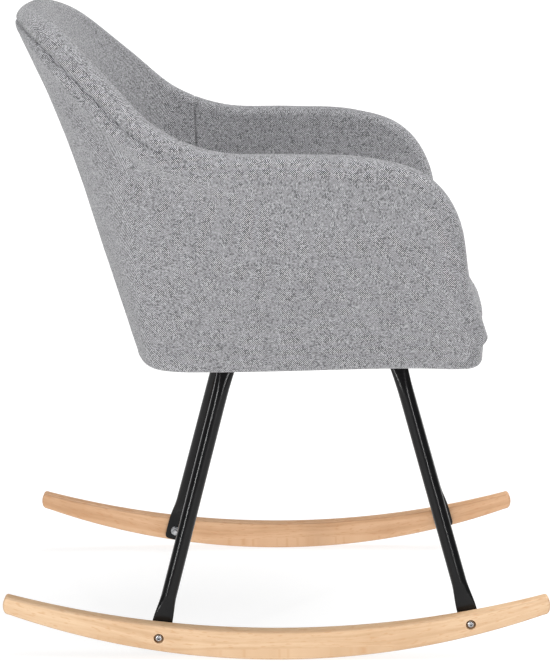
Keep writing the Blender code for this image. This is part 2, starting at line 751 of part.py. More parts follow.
def cushion_outline(inset):
    """Plan outline of the cushion: rounded corners and a slightly bowed front."""
    points = []
    corners = (
        (1, CUSHION_REAR_Y, CUSHION_CORNER_RADIUS, 0),
        (-1, CUSHION_REAR_Y, CUSHION_CORNER_RADIUS, 90),
        (-1, CUSHION_FRONT_Y + 0.010, CUSHION_FRONT_CORNER_RADIUS, 180),
        (1, CUSHION_FRONT_Y + 0.010, CUSHION_FRONT_CORNER_RADIUS, 270),
    )
    for side, edge_y, radius, start in corners:
        inwards = -1 if start < 180 else 1
        centre_x = side * (CUSHION_HALF_WIDTH - radius)
        centre_y = edge_y + inwards * radius
        for step in range(6):
            angle = math.radians(start + 18 * step)
            reach = radius - inset
            points.append((centre_x + reach * math.cos(angle), centre_y + reach * math.sin(angle)))
        if start == 180:
            for x in (-0.08, 0.0, 0.08):
                bow = 0.010 * (1 - (x / CUSHION_HALF_WIDTH) ** 2)
                points.append((x, edge_y + inset - bow))
    return points


def make_cushion(fabric):
    """Boxed seat cushion with rounded edges and a crowned top."""
    layers = (
        (0.010, 0.0),
        (0.002, 0.006),
        (0.000, 0.018),
        (0.002, 0.030),
        (0.010, 0.040),
        (0.024, CUSHION_HEIGHT),
    )
    rings = []
    for inset, height in layers:
        z = CUSHION_BOTTOM_Z + height
        rings.append([Vector((x, y, z)) for x, y in cushion_outline(inset)])
    centre = Vector((0, (CUSHION_FRONT_Y + CUSHION_REAR_Y) / 2, 0))
    for scale, rise in ((0.66, 0.65), (0.33, 0.93)):
        top = []
        for x, y in cushion_outline(layers[-1][0]):
            point = centre + (Vector((x, y, 0)) - centre) * scale
            point.z = CUSHION_BOTTOM_Z + CUSHION_HEIGHT + CUSHION_CROWN * rise
            top.append(point)
        rings.append(top)
    loft("seat_cushion", rings, fabric)


# ---------------------------------------------------------------- build


def clear_scene():
    for obj in list(bpy.data.objects):
        bpy.data.objects.remove(obj, do_unlink=True)


def build():
    clear_scene()
    beech = make_material("beech", (0.76, 0.53, 0.33), 0.45)
    black = make_material("black_powder_coat", (0.012, 0.012, 0.013), 0.25)
    steel = make_material("zinc_steel", (0.62, 0.62, 0.64), 0.3, 1.0)
    fabric = make_material("grey_fabric", (0.33, 0.33, 0.35), 0.9)
    plywood = make_material("plywood", (0.55, 0.40, 0.25), 0.7)
    shell_material = make_material("moulded_shell", (0.30, 0.22, 0.15), 0.7)
    cloth = make_material("black_cloth", (0.02, 0.02, 0.02), 0.95)
    make_rockers(beech)
    make_legs(black)
    make_rocker_fasteners(steel)
    make_seat_fasteners(steel)
    make_tub(fabric, shell_material)
    make_board(plywood)
    make_dust_cover(cloth)
    make_front_band(fabric)
    make_cushion(fabric)


build()
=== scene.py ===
"""Looks of the upholstered tub rocking chair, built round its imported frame.

Metres, +Z up, +X the sitter's left, the chair faces -Y. The tub is one curved wall,
described station by station from the middle of the back (0) to the front end of an
arm (1 on the left, -1 on the right).
"""

import json
import math
from types import SimpleNamespace

import bmesh
import bpy
import numpy as np
from mathutils import Matrix, Vector, noise

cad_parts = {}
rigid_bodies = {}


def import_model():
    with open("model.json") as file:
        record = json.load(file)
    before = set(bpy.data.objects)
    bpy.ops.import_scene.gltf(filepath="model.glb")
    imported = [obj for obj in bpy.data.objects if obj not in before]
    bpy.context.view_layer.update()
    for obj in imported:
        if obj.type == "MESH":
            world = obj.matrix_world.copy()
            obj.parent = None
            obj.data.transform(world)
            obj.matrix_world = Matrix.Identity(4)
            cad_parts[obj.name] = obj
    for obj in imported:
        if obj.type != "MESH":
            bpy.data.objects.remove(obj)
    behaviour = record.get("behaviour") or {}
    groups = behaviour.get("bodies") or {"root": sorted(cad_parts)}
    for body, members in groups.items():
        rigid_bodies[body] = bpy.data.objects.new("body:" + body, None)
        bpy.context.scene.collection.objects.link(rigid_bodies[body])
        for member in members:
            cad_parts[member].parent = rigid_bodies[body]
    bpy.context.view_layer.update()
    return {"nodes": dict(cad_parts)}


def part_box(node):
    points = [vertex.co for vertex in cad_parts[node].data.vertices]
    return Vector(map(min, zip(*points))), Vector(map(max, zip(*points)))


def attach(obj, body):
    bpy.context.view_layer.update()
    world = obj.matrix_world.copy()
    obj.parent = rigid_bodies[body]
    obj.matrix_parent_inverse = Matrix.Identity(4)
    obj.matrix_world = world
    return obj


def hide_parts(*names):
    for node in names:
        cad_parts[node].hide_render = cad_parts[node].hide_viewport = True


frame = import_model()

# Camera, as far from the chair as a product camera stands.
CAMERA_PLACE = (-2.898, 0.002, 0.948)
CAMERA_DOWN = math.radians(11.31)
CAMERA_LENS = 121.8
CAMERA_SENSOR = 36.0

# Tub wall; depths are measured inwards from its outer surface.
RIM_RADIUS = 0.022
WALL_THICKNESS = 2 * RIM_RADIUS
OUTER_PAD_DEPTH = 0.006
INNER_PAD_START = 0.015
HEM_RADIUS = 0.0103
BACK_DISH = 0.009
ARM_PAD_SWELL = 0.002
BACK_PAD_SWELL = -0.004
PANEL_SPLIT = 0.44  # where the inner back panel meets the inner arm panels
STATION_COUNT = 171
WALL_STEPS = 46
RIM_STEPS = 34

# Way round, rim centre x, y, z, outer face of the hem x, y, z.
TUB_ROWS = (
    (0.00, 0.000, 0.309, 0.7780, 0.000, 0.1815, 0.3665),
    (0.10, 0.086, 0.303, 0.7755, 0.065, 0.1795, 0.3665),
    (0.20, 0.162, 0.275, 0.7565, 0.132, 0.1740, 0.3665),
    (0.30, 0.223, 0.218, 0.7040, 0.187, 0.1580, 0.3665),
    (0.40, 0.266, 0.153, 0.6470, 0.210, 0.1240, 0.3665),
    (0.50, 0.286, 0.075, 0.6180, 0.214, 0.0730, 0.3670),
    (0.60, 0.290, -0.020, 0.6150, 0.216, 0.0050, 0.3685),
    (0.70, 0.288, -0.105, 0.6110, 0.216, -0.0700, 0.3705),
    (0.78, 0.282, -0.164, 0.5930, 0.216, -0.1300, 0.3720),
    (0.86, 0.270, -0.1975, 0.5470, 0.215, -0.1800, 0.3720),
    (0.93, 0.251, -0.2115, 0.4740, 0.2145, -0.2130, 0.3710),
    (1.00, 0.222, -0.2365, 0.4000, 0.2115, -0.2325, 0.3705),
)

# Seam on the rim, the padded roll below it, and the hollow below that.
SEAM_TURN = 0.46  # how far the seam lies over the rim from its outer shoulder
SHOULDER_STEPS = 12
SEAM_DEPTH = 0.0030
SEAM_HALF_WIDTH = 0.0020
ROLL_HEIGHT = 0.0070
ROLL_BELOW_SEAM = 0.016
ROLL_HALF_WIDTH = 0.0105
HOLLOW_DEPTH = 0.0082
HOLLOW_BELOW_SEAM = 0.056
HOLLOW_HALF_WIDTH = 0.026
PULL_HEIGHT = 0.0009  # slow unevenness of stretched fabric

YARN = 0.00125  # spacing of the fabric's yarns
FABRIC_TONES = (
    (0.45, (0.027, 0.027, 0.030)),
    (0.62, (0.088, 0.088, 0.094)),
    (0.78, (0.405, 0.405, 0.420)),
    (1.00, (0.645, 0.645, 0.668)),
)

BEECH_TONES = (
    (0.36, (0.610, 0.385, 0.212)),
    (0.50, (0.700, 0.470, 0.280)),
    (0.64, (0.765, 0.545, 0.342)),
)
BEECH_RAY = (0.58, 0.30, 0.13)
BEECH_PORE = (0.62, 0.36, 0.20)
# painted shade for the rockers' rounded edges
BEECH_EDGE_SHADE = (0.36, 0.22, 0.13)
BEECH_TINTS = {"left": (1.0, 0.88, 0.81), "right": (1.0, 1.0, 1.0)}  # the left plank is redder

# Seat.
SEAT_MIDDLE_Y = -0.06
BAND_THICKNESS = 0.0206
BAND_HALF_SPAN = 0.160
BAND_FRONT_Y = -0.268
BAND_BOW = 0.42
BAND_CORNER = ((0.178, -0.2458), (0.1915, -0.2432), (0.1990, -0.2395), (0.2012, -0.2329))
BAND_ROUNDING = 0.0045
CUSHION_FRONT_RADIUS = 0.030
CUSHION_REAR_RADIUS = 0.058
CUSHION_BOW = 0.008
CUSHION_VOXEL = 0.0055
CUSHION_SEAM_DEPTH = 0.0010
FILLING_PRESSURE = 4.0
FILLING_FRAMES = 20
FILLING_MOST = 0.006  # furthest that the filling may move a point
FRONT_DROOP = 0.0085  # how far the cushion's front edge hangs over the front band

BOARD_TOP_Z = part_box("seat_board")[1].z
BOARD_BOTTOM_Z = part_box("seat_board")[0].z

# Rockers.
ROCKER_HALF_CHORD = 0.330
ROCKER_DEPTH = 0.0365
ROCKER_FOOT_RADIUS = 0.97
ROCKER_TOP_RADIUS = 1.28
ROCKER_TIP_REACH = 0.0098
ROCKER_ROUNDING = 0.0030
ROCKER_ARC_STEPS = 72
COUNTERBORE_RADIUS = 0.0063
COUNTERBORE_DEPTH = 0.0065
BOLT_HOLE_RADIUS = 0.0033

# Legs.
TUBE_RADIUS = 0.0095
TAB_HALF_WIDTH = 0.0142
LOW_TAB_HALF_WIDTH = 0.0125
TAB_HALF_THICKNESS = 0.0025
LEG_TOP_X = 0.1815
LEG_TOP_Z = 0.350
LEG_ROUND_FROM = ((0.1850, 0.328), (0.19092, 0.28))  # x and z where the round tube begins
LEG_LOW_X = 0.2200
LEG_ROUND_ABOVE_BOLT = 0.047
LEG_SIDES = 48
LEG_RINGS_PER_STOP = 7
LEG_PLACES = {
    "front": {"top_y": -0.1545, "bolt_y": -0.241, "bolt_z": 0.046},
    "rear": {"top_y": 0.0640, "bolt_y": 0.1465, "bolt_z": 0.028},
}

# Fasteners.
FASTENER_SIDES = 48
SHANK_RADIUS = 0.0030
SOCKET_ACROSS = 0.0040
BOLT_HEAD_RADIUS = 0.0050
BOLT_HEAD_HEIGHT = 0.0055
SCREW_HEAD_HEIGHT = 0.0034
NUT_ACROSS = 0.010
NUT_LIP = 0.0006  # chamfer round a nut's hole

SIDES = {"left": 1, "right": -1}


# ---------------------------------------------------------------- node helpers


def new_material(name):
    material = bpy.data.materials.new(name)
    material.use_nodes = True
    tree = material.node_tree
    return material, tree, tree.nodes["Principled BSDF"]


def add_node(tree, kind, inputs=None, **settings):
    """A shader node; inputs holds constants or sockets by input name or number."""
    node = tree.nodes.new(kind)
    for key, value in settings.items():
        setattr(node, key, value)
    for key, value in (inputs or {}).items():
        if isinstance(value, bpy.types.NodeSocket):
            tree.links.new(value, node.inputs[key])
        else:
            node.inputs[key].default_value = value
    return node


def maths(tree, operation, first, second=0.0, third=0.0):
    node = add_node(tree, "ShaderNodeMath", {0: first, 1: second, 2: third}, operation=operation)
    return node.outputs[0]


def stretched(tree, vector, scale):
    node = add_node(tree, "ShaderNodeVectorMath", {0: vector, 1: scale}, operation="MULTIPLY")
    return node.outputs[0]


def noise_at(tree, vector, scale, detail=2.0, roughness=0.5):
    inputs = {"Vector": vector, "Scale": scale, "Detail": detail, "Roughness": roughness}
    return add_node(tree, "ShaderNodeTexNoise", inputs).outputs["Fac"]


def ramp(tree, value, stops):
    node = add_node(tree, "ShaderNodeValToRGB", {"Fac": value})
    elements = node.color_ramp.elements
    while len(elements) < len(stops):
        elements.new(0.5)
    for element, (place, colour) in zip(elements, stops):
        element.position = place
        element.color = (*colour, 1.0)
    return node.outputs["Color"]


def blend_colours(tree, amount, first, second, kind="MIX"):
    node = add_node(tree, "ShaderNodeMix", data_type="RGBA", blend_type=kind)
    for socket, value in zip((node.inputs[0], node.inputs[6], node.inputs[7]), (amount, first, second)):
        if isinstance(value, bpy.types.NodeSocket):
            tree.links.new(value, socket)
        elif isinstance(value, tuple):
            socket.default_value = (*value, 1.0)
        else:
            socket.default_value = value
    return node.outputs[2]


def bump(tree, height, shader, distance, strength):
    inputs = {"Height": height, "Distance": distance, "Strength": strength}
    node = add_node(tree, "ShaderNodeBump", inputs)
    tree.links.new(node.outputs["Normal"], shader.inputs["Normal"])


def dress(tree, shader, colour, roughness, constants=None):
    """Gives the shader its colour, its roughness, and constants by input name."""
    tree.links.new(colour, shader.inputs["Base Color"])
    if isinstance(roughness, bpy.types.NodeSocket):
        tree.links.new(roughness, shader.inputs["Roughness"])
    else:
        shader.inputs["Roughness"].default_value = roughness
    for name, value in (constants or {}).items():
        shader.inputs[name].default_value = value


def object_coordinates(tree):
    return add_node(tree, "ShaderNodeTexCoord").outputs["Object"]


# ---------------------------------------------------------------- materials


def fabric_material():
    """Light grey melange cloth: a plain weave whose yarns change tone from crossing to crossing, with
    painted shade in the gaps between the yarns.
    """
    material, tree, shader = new_material("grey_melange_fabric")
    uv = add_node(tree, "ShaderNodeUVMap", uv_map="weave").outputs["UV"]
    yarns = stretched(tree, uv, (1 / YARN, 1 / YARN, 1 / YARN))
    split = add_node(tree, "ShaderNodeSeparateXYZ", {0: yarns})
    across, along = split.outputs["X"], split.outputs["Y"]
    cell = add_node(tree, "ShaderNodeVectorMath", {0: yarns}, operation="FLOOR").outputs[0]
    white = add_node(tree, "ShaderNodeTexWhiteNoise", {"Vector": cell}, noise_dimensions="2D")
    random = white.outputs["Value"]
    number = add_node(tree, "ShaderNodeVectorMath", {0: cell, 1: (1, 1, 0)}, operation="DOT_PRODUCT")
    warp_on_top = maths(tree, "PINGPONG", number.outputs["Value"], 1.0)
    fibres = noise_at(tree, yarns, 4.0, 2.0, 0.7)
    slow = noise_at(tree, uv, 12.0, 2.0)
    tone = maths(tree, "MULTIPLY", random, 0.66)
    tone = maths(tree, "MULTIPLY_ADD", warp_on_top, 0.58, tone)
    tone = maths(tree, "MULTIPLY_ADD", slow, 0.06, tone)
    tone = maths(tree, "MULTIPLY_ADD", fibres, 0.16, tone)
    colour = ramp(tree, tone, FABRIC_TONES)
    threads = [maths(tree, "SINE", maths(tree, "MULTIPLY", way, math.pi)) for way in (across, along)]
    threads = [maths(tree, "ABSOLUTE", thread) for thread in threads]
    crossing_height = maths(tree, "SQRT", maths(tree, "MULTIPLY", *threads))
    # painted shade: the colour is drawn towards near black in the gaps between the yarns, where the
    # threads dip
    painted_gap_shade = maths(tree, "MULTIPLY", maths(tree, "SUBTRACT", 1.0, crossing_height), 0.55)
    colour = blend_colours(tree, painted_gap_shade, colour, (0.030, 0.030, 0.034))
    height = maths(tree, "MULTIPLY_ADD", random, 0.35, crossing_height)
    height = maths(tree, "MULTIPLY_ADD", fibres, 0.5, height)
    bump(tree, height, shader, 0.0004, 0.5)
    soft = {"Specular IOR Level": 0.25, "Sheen Weight": 0.25, "Sheen Roughness": 0.5}
    dress(tree, shader, colour, 0.92, soft)
    return material


def beech_material(name, tint):
    """Lacquered beech: fine long pores, short orange-brown rays, and painted shade on the rounded edges.
    """
    material, tree, shader = new_material(name)
    grain = add_node(tree, "ShaderNodeAttribute", attribute_name="grain").outputs["Vector"]
    edge = add_node(tree, "ShaderNodeAttribute", attribute_name="edge").outputs["Fac"]
    bands = noise_at(tree, stretched(tree, grain, (5.0, 130.0, 60.0)), 1.0, 4.0, 0.6)
    pores = noise_at(tree, stretched(tree, grain, (60.0, 800.0, 400.0)), 1.0, 2.0, 0.6)
    rays = noise_at(tree, stretched(tree, grain, (95.0, 430.0, 200.0)), 1.0, 1.0, 0.4)
    patches = noise_at(tree, grain, 22.0, 2.0, 0.5)
    tone = maths(tree, "MULTIPLY_ADD", patches, 0.25, maths(tree, "MULTIPLY", bands, 0.75))
    colour = ramp(tree, tone, BEECH_TONES)
    ray_amount = ramp(tree, rays, ((0.58, (0, 0, 0)), (0.70, (1, 1, 1))))
    pore_amount = ramp(tree, pores, ((0.56, (0, 0, 0)), (0.75, (1, 1, 1))))
    # rays and pores are the wood's own marks; the edge mark is painted shade on the rounded edges
    marks = ((ray_amount, 0.50, BEECH_RAY), (pore_amount, 0.30, BEECH_PORE), (edge, 0.60, BEECH_EDGE_SHADE))
    for amount, strength, mark in marks:
        colour = blend_colours(tree, maths(tree, "MULTIPLY", amount, strength), colour, mark)
    colour = blend_colours(tree, 1.0, colour, tint, "MULTIPLY")
    bump(tree, maths(tree, "MULTIPLY_ADD", pores, -0.6, bands), shader, 0.0002, 0.35)
    rough = maths(tree, "MULTIPLY_ADD", pores, 0.22, 0.34)
    dress(tree, shader, colour, rough, {"Coat Weight": 0.12, "Coat Roughness": 0.28})
    return material


def black_metal_material():
    """Glossy black powder coat with a faint orange peel and dust."""
    material, tree, shader = new_material("black_powder_coat_gloss")
    place = object_coordinates(tree)
    peel = noise_at(tree, place, 520.0, 2.0, 0.5)
    dust = noise_at(tree, place, 60.0, 4.0, 0.7)
    colour = ramp(tree, dust, ((0.35, (0.0030, 0.0030, 0.0034)), (0.75, (0.0070, 0.0070, 0.0074))))
    bump(tree, peel, shader, 0.00006, 0.15)
    dress(tree, shader, colour, maths(tree, "MULTIPLY_ADD", dust, 0.10, 0.14), {"IOR": 1.32})
    return material


def zinc_material():
    """Bright zinc-plated steel with brushed streaks."""
    material, tree, shader = new_material("zinc_plated_steel")
    place = object_coordinates(tree)
    streaks = noise_at(tree, stretched(tree, place, (500.0, 500.0, 3000.0)), 1.0, 2.0)
    patches = noise_at(tree, place, 240.0, 3.0, 0.6)
    colour = ramp(tree, patches, ((0.30, (0.36, 0.37, 0.39)), (0.70, (0.62, 0.62, 0.63))))
    bump(tree, streaks, shader, 0.00004, 0.4)
    dress(tree, shader, colour, maths(tree, "MULTIPLY_ADD", streaks, 0.22, 0.18), {"Metallic": 1.0})
    return material


def plywood_material(name, light, dark, ply, covered_above=None):
    """Layered board: long grain on the faces, plies on the edges, and dark lining cloth above a level."""
    material, tree, shader = new_material(name)
    place = object_coordinates(tree)
    grain = noise_at(tree, stretched(tree, place, (60.0, 6.0, 60.0)), 1.0, 4.0, 0.6)
    height = add_node(tree, "ShaderNodeSeparateXYZ", {0: place}).outputs["Z"]
    layers = maths(tree, "SINE", maths(tree, "MULTIPLY", height, 2 * math.pi / ply))
    tone = maths(tree, "MULTIPLY_ADD", layers, 0.08, grain)
    colour = ramp(tree, tone, ((0.3, dark), (0.7, light)))
    if covered_above is not None:
        covered = maths(tree, "GREATER_THAN", height, covered_above)
        threads = noise_at(tree, place, 900.0, 2.0)
        lining = ramp(tree, threads, ((0.3, (0.030, 0.030, 0.034)), (0.7, (0.120, 0.120, 0.128))))
        colour = blend_colours(tree, covered, colour, lining)
    bump(tree, grain, shader, 0.0002, 0.4)
    dress(tree, shader, colour, 0.75)
    return material


def black_cloth_material():
    """Thin black non-woven cloth with a dimpled bond pattern."""
    material, tree, shader = new_material("black_nonwoven_cloth")
    place = object_coordinates(tree)
    cells = add_node(tree, "ShaderNodeTexVoronoi", {"Vector": place, "Scale": 520.0})
    fibres = noise_at(tree, place, 900.0, 3.0, 0.7)
    tone = maths(tree, "MULTIPLY_ADD", fibres, 0.5, cells.outputs["Distance"])
    colour = ramp(tree, tone, ((0.2, (0.010, 0.010, 0.011)), (0.9, (0.040, 0.040, 0.042))))
    bump(tree, cells.outputs["Distance"], shader, 0.0003, 0.6)
    dress(tree, shader, colour, 0.95)
    return material


def floor_material():
    """Pale studio floor, lit from below as well, so that shadows on it stay faint."""
    material, tree, shader = new_material("pale_floor")
    place = object_coordinates(tree)
    mottle = noise_at(tree, place, 3.0, 3.0)
    colour = ramp(tree, mottle, ((0.3, (0.28, 0.28, 0.28)), (0.7, (0.30, 0.30, 0.30))))
    glow = {"Emission Color": (1.0, 1.0, 1.0, 1.0), "Emission Strength": 0.80}
    dress(tree, shader, colour, 0.9, {"Specular IOR Level": 0.1, **glow})
    return material


# ---------------------------------------------------------------- mesh helpers


def finish_mesh(name, mesh, material, sharp=60.0):
    """Closes up the mesh, turns its faces outwards, and links it as a piece of the chair."""
    shape = bmesh.new()
    shape.from_mesh(mesh)
    bmesh.ops.remove_doubles(shape, verts=shape.verts, dist=1e-7)
    bmesh.ops.recalc_face_normals(shape, faces=shape.faces)
    if shape.calc_volume(signed=True) < 0:
        bmesh.ops.reverse_faces(shape, faces=shape.faces)
    shape.to_mesh(mesh)
    shape.free()
    mesh.materials.append(material)
    mesh.shade_smooth()
    mesh.set_sharp_from_angle(angle=math.radians(sharp))
    piece = bpy.data.objects.new(name, mesh)
    bpy.context.scene.collection.objects.link(piece)
    return piece


def loft(name, rings, material, sharp=60.0, torus=False):
    """Closed rings of equal length joined into a solid; torus joins the last to the first."""
    rings = np.asarray(rings, float)
    count, around = rings.shape[:2]
    faces = []
    for i in range(count if torus else count - 1):
        following = (i + 1) % count
        for j in range(around):
            k = (j + 1) % around
            faces.append((i * around + j, i * around + k, following * around + k, following * around + j))
    if not torus:
        faces += [tuple(ring * around + j for j in range(around)) for ring in (0, count - 1)]
    mesh = bpy.data.meshes.new(name)
    mesh.from_pydata(rings.reshape(-1, 3).tolist(), [], faces)
    return finish_mesh(name, mesh, material, sharp)


def read_points(mesh):
    points = np.empty(len(mesh.vertices) * 3, np.float32)
    mesh.vertices.foreach_get("co", points)
    return points.reshape(-1, 3).astype(float)


def read_normals(mesh):
    normals = np.empty(len(mesh.vertices) * 3, np.float32)
    mesh.vertex_normals.foreach_get("vector", normals)
    return normals.reshape(-1, 3).astype(float)


def box_mapped(mesh):
    """Gives a mesh the UV map "weave" in metres, face by face from its main direction."""
    layer = mesh.uv_layers.get("weave") or mesh.uv_layers.new(name="weave")
    points = read_points(mesh)
    weave = np.empty((len(mesh.loops), 2), np.float32)
    for face in mesh.polygons:
        main = int(np.argmax(np.abs(face.normal)))
        kept = [axis for axis in range(3) if axis != main]
        weave[list(face.loop_indices)] = points[list(face.vertices)][:, kept]
    layer.data.foreach_set("uv", weave.ravel())


def add_piece(piece, slot, *nodes):
    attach(piece, "root")
    if nodes:
        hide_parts(*nodes)
    return piece


def circle(radius, sides, turn=0.0):
    angles = turn + 2 * math.pi * np.arange(sides) / sides
    return np.stack([radius * np.cos(angles), radius * np.sin(angles)], axis=1)


def smooth_step(value):
    value = np.clip(value, 0.0, 1.0)
    return value * value * (3 - 2 * value)


# ---------------------------------------------------------------- tub surfaces


def tub_table():
    rows = np.array(TUB_ROWS)
    mirrored = rows[:0:-1] * (-1, -1, 1, 1, -1, 1, 1)
    table = np.vstack([mirrored, rows])
    return table[:, 0], table[:, 1:], np.gradient(table[:, 1:], table[:, 0], axis=0)


TABLE_AT, TABLE_VALUES, TABLE_SLOPES = tub_table()


def tub_row(amount):
    """Interpolated row of TUB_ROWS: rim centre and foot, six numbers."""
    i = int(np.clip(np.searchsorted(TABLE_AT, amount, side="right") - 1, 0, len(TABLE_AT) - 2))
    width = TABLE_AT[i + 1] - TABLE_AT[i]
    t = (amount - TABLE_AT[i]) / width
    start = (2 * t**3 - 3 * t**2 + 1) * TABLE_VALUES[i] + (t**3 - 2 * t**2 + t) * width * TABLE_SLOPES[i]
    end = (-2 * t**3 + 3 * t**2) * TABLE_VALUES[i + 1] + (t**3 - t**2) * width * TABLE_SLOPES[i + 1]
    return start + end


def unit(vectors):
    return vectors / np.linalg.norm(vectors, axis=-1, keepdims=True)


def station(amount):
    """The wall at one place round the tub: its ends, and its directions there."""
    low, high = max(amount - 0.015, -1.0), min(amount + 0.015, 1.0)
    here, before, after = tub_row(amount), tub_row(low), tub_row(high)
    slope = after - before
    place = SimpleNamespace(amount=amount, rim=here[:3], foot=here[3:])
    place.rim_slope, place.foot_slope = unit(slope[:3]), unit(slope[3:])
    place.up = unit(place.rim - place.foot)
    place.rim_normal = unit(np.cross(place.up, place.rim_slope))
    rim_up = unit(np.cross(place.rim_normal, place.rim_slope))
    place.rim_up = rim_up if rim_up @ place.up > 0 else -rim_up
    level = np.cross(place.up, place.foot_slope)
    place.level = unit(np.array((level[0], level[1], 0.0)))
    place.shoulder = place.rim + RIM_RADIUS * place.rim_normal
    place.length = np.linalg.norm(place.shoulder - place.foot)
    place.back = max(0.0, 1 - (amount / 0.5) ** 2)
    return place


def normals_at(place, heights):
    h = heights[:, None]
    return unit(np.cross(place.up, unit((1 - h) * place.foot_slope + h * place.rim_slope)))


def wall_points(place, heights, depths):
    """Points of the wall at heights 0 (foot) to 1 (rim), sunk by depths from its outer face."""
    normals = normals_at(place, heights)
    dish = BACK_DISH * place.back * np.sin(np.pi * np.clip(heights, 0, 1) ** 1.7)
    straight = place.foot + (place.shoulder - place.foot) * heights[:, None]
    return straight - (dish + depths)[:, None] * normals


def height_of(place, z, depth):
    """The height share at which a layer of the wall is at level z."""
    heights = np.linspace(-0.3, 1.0, 200)
    levels = wall_points(place, heights, np.full(200, float(depth)))[:, 2]
    return float(np.interp(z, levels, heights))


def pad_depths(place, heights):
    back = max(0.0, 1 - (place.amount / 0.42) ** 2)
    swell = ARM_PAD_SWELL + (BACK_PAD_SWELL - ARM_PAD_SWELL) * back
    return WALL_THICKNESS + swell * np.sin(np.pi * np.clip(heights, 0, 1)) ** 1.5


def seam_share(amount):
    """How strongly the rim seam shows: full round the back, gone on the arms."""
    return 1 - smooth_step((abs(amount) - 0.36) / 0.16)


def roll_share(amount):
    """How strongly the padded roll below the seam shows; it spreads out into the arm."""
    return smooth_step((abs(amount) - 0.12) / 0.20) * (1 - smooth_step((abs(amount) - 0.44) / 0.18))


def seam_relief(place, distances):
    """Relief of the outer face by distance below the rim seam, outwards positive."""
    groove = -SEAM_DEPTH * np.exp(-((distances / SEAM_HALF_WIDTH) ** 2)) * seam_share(place.amount)
    roll = ROLL_HEIGHT * np.exp(-(((distances - ROLL_BELOW_SEAM) / ROLL_HALF_WIDTH) ** 2))
    hollow = -HOLLOW_DEPTH * np.exp(-(((distances - HOLLOW_BELOW_SEAM) / HOLLOW_HALF_WIDTH) ** 2))
    return groove + (roll * smooth_step(distances / 0.010) + hollow) * roll_share(place.amount)


def over_rim(place, turns, relief):
    """Points of the rim at turns from its outer shoulder (0) over the top to the inside (pi)."""
    outwards = np.cos(turns)[:, None] * place.rim_normal + np.sin(turns)[:, None] * place.rim_up
    return place.rim + (RIM_RADIUS + relief)[:, None] * outwards


def panel_relief(place, share):
    """Groove of the seam between the inner back and arm panels; share fades it."""
    distance = abs(abs(place.amount) - PANEL_SPLIT) * 0.92
    return -0.0028 * math.exp(-((distance / 0.0018) ** 2)) * share


def pulled(points, normals, seed):
    """Adds the slow unevenness of stretched fabric along the normals."""
    lift = [noise.noise(Vector(p) * 11 + Vector((seed, 0, 0))) for p in points]
    fine = [noise.noise(Vector(p) * 34 + Vector((0, seed, 0))) for p in points]
    return points + normals * (PULL_HEIGHT * (np.array(lift) + 0.35 * np.array(fine)))[:, None]


def hem_ring(place):
    """The outer panel's lower edge, turned under as a round hem, from outside to inside."""
    down = np.array((0.0, 0.0, -1.0))
    centre = place.foot - HEM_RADIUS * place.level
    turns = np.radians(np.linspace(0, 180, 15))
    outside = [centre + HEM_RADIUS * (math.cos(a) * place.level + math.sin(a) * down) for a in turns]
    inner = HEM_RADIUS - OUTER_PAD_DEPTH
    lift = np.array((0, 0, BOARD_BOTTOM_Z - 0.0008 - place.foot[2]))
    top = [
        place.foot - 2 * HEM_RADIUS * place.level + lift,
        place.foot - (HEM_RADIUS + inner) * place.level + lift,
    ]
    inside = [centre + inner * (math.cos(a) * place.level + math.sin(a) * down) for a in turns[::-1]]
    return np.array(outside), np.array(top), np.array(inside)


def outer_ring(place):
    """Outer panel: from the rim seam down, round the hem, and back up behind the fabric."""
    turns = SEAM_TURN * (1 - np.linspace(0, 1, SHOULDER_STEPS, endpoint=False) ** 1.4)
    shoulder = over_rim(place, turns, seam_relief(place, RIM_RADIUS * (SEAM_TURN - turns)))
    distances = place.length * (np.arange(WALL_STEPS) / WALL_STEPS) ** 1.5
    heights = 1 - distances / place.length
    normals = normals_at(place, heights)
    face = wall_points(place, heights, np.zeros(WALL_STEPS))
    face = face + normals * seam_relief(place, distances + RIM_RADIUS * SEAM_TURN)[:, None]
    fade = smooth_step(distances / 0.02) * smooth_step(heights / 0.06)
    face = face + (pulled(face, normals, 3.0) - face) * fade[:, None]
    outside, top, inside = hem_ring(place)
    back_heights = heights[::4]
    behind = wall_points(place, back_heights, np.full(len(back_heights), OUTER_PAD_DEPTH))
    under_seam = over_rim(place, turns[1::3][::-1], np.full(len(turns[1::3]), -OUTER_PAD_DEPTH))
    return np.concatenate([shoulder, face, outside, top, inside, behind[::-1], under_seam])


def inner_ring(place):
    """Inner panel: up the seat side, over the rim to the seam, and back down behind."""
    floor_z = BOARD_TOP_Z + 0.0005
    low = height_of(place, floor_z, WALL_THICKNESS)
    heights = np.linspace(low, 1.0, WALL_STEPS)
    normals = normals_at(place, heights)
    face = wall_points(place, heights, pad_depths(place, heights))
    rise = smooth_step((heights - low) / (0.25 - low))
    face = face - normals * (panel_relief(place, 1.0) * np.ones(WALL_STEPS))[:, None]
    face = face + (pulled(face, -normals, 9.0) - face) * (rise * smooth_step((1 - heights) / 0.1))[:, None]
    share = np.linspace(1, 0, RIM_STEPS + 1)[1:]
    turns = SEAM_TURN + (math.pi - SEAM_TURN) * share**1.5
    groove = np.minimum(0.0, seam_relief(place, RIM_RADIUS * (turns - SEAM_TURN)))
    groove = groove * (turns < SEAM_TURN + 0.4)
    over = over_rim(place, turns, groove + panel_relief(place, 1.0) * smooth_step((turns - 1.1) / 1.2))
    bottom = height_of(place, floor_z, INNER_PAD_START)
    under_seam = over_rim(place, np.linspace(SEAM_TURN, 0, 5), np.full(5, -INNER_PAD_START))
    back_heights = np.linspace(1.0, bottom, 12)[1:]
    behind = wall_points(place, back_heights, np.full(11, INNER_PAD_START))
    return np.concatenate([face, over, under_seam, behind])


def amounts_between(low, high, count, close_to=()):
    """Evenly spread stations, with more of them close to the ends that are named."""
    even = list(np.linspace(low, high, count))
    extra = []
    for end in close_to:
        inwards = 1 if end == low else -1
        extra += [end + inwards * step for step in (0.0008, 0.0016, 0.0026, 0.0042)]
    return sorted(even + extra)


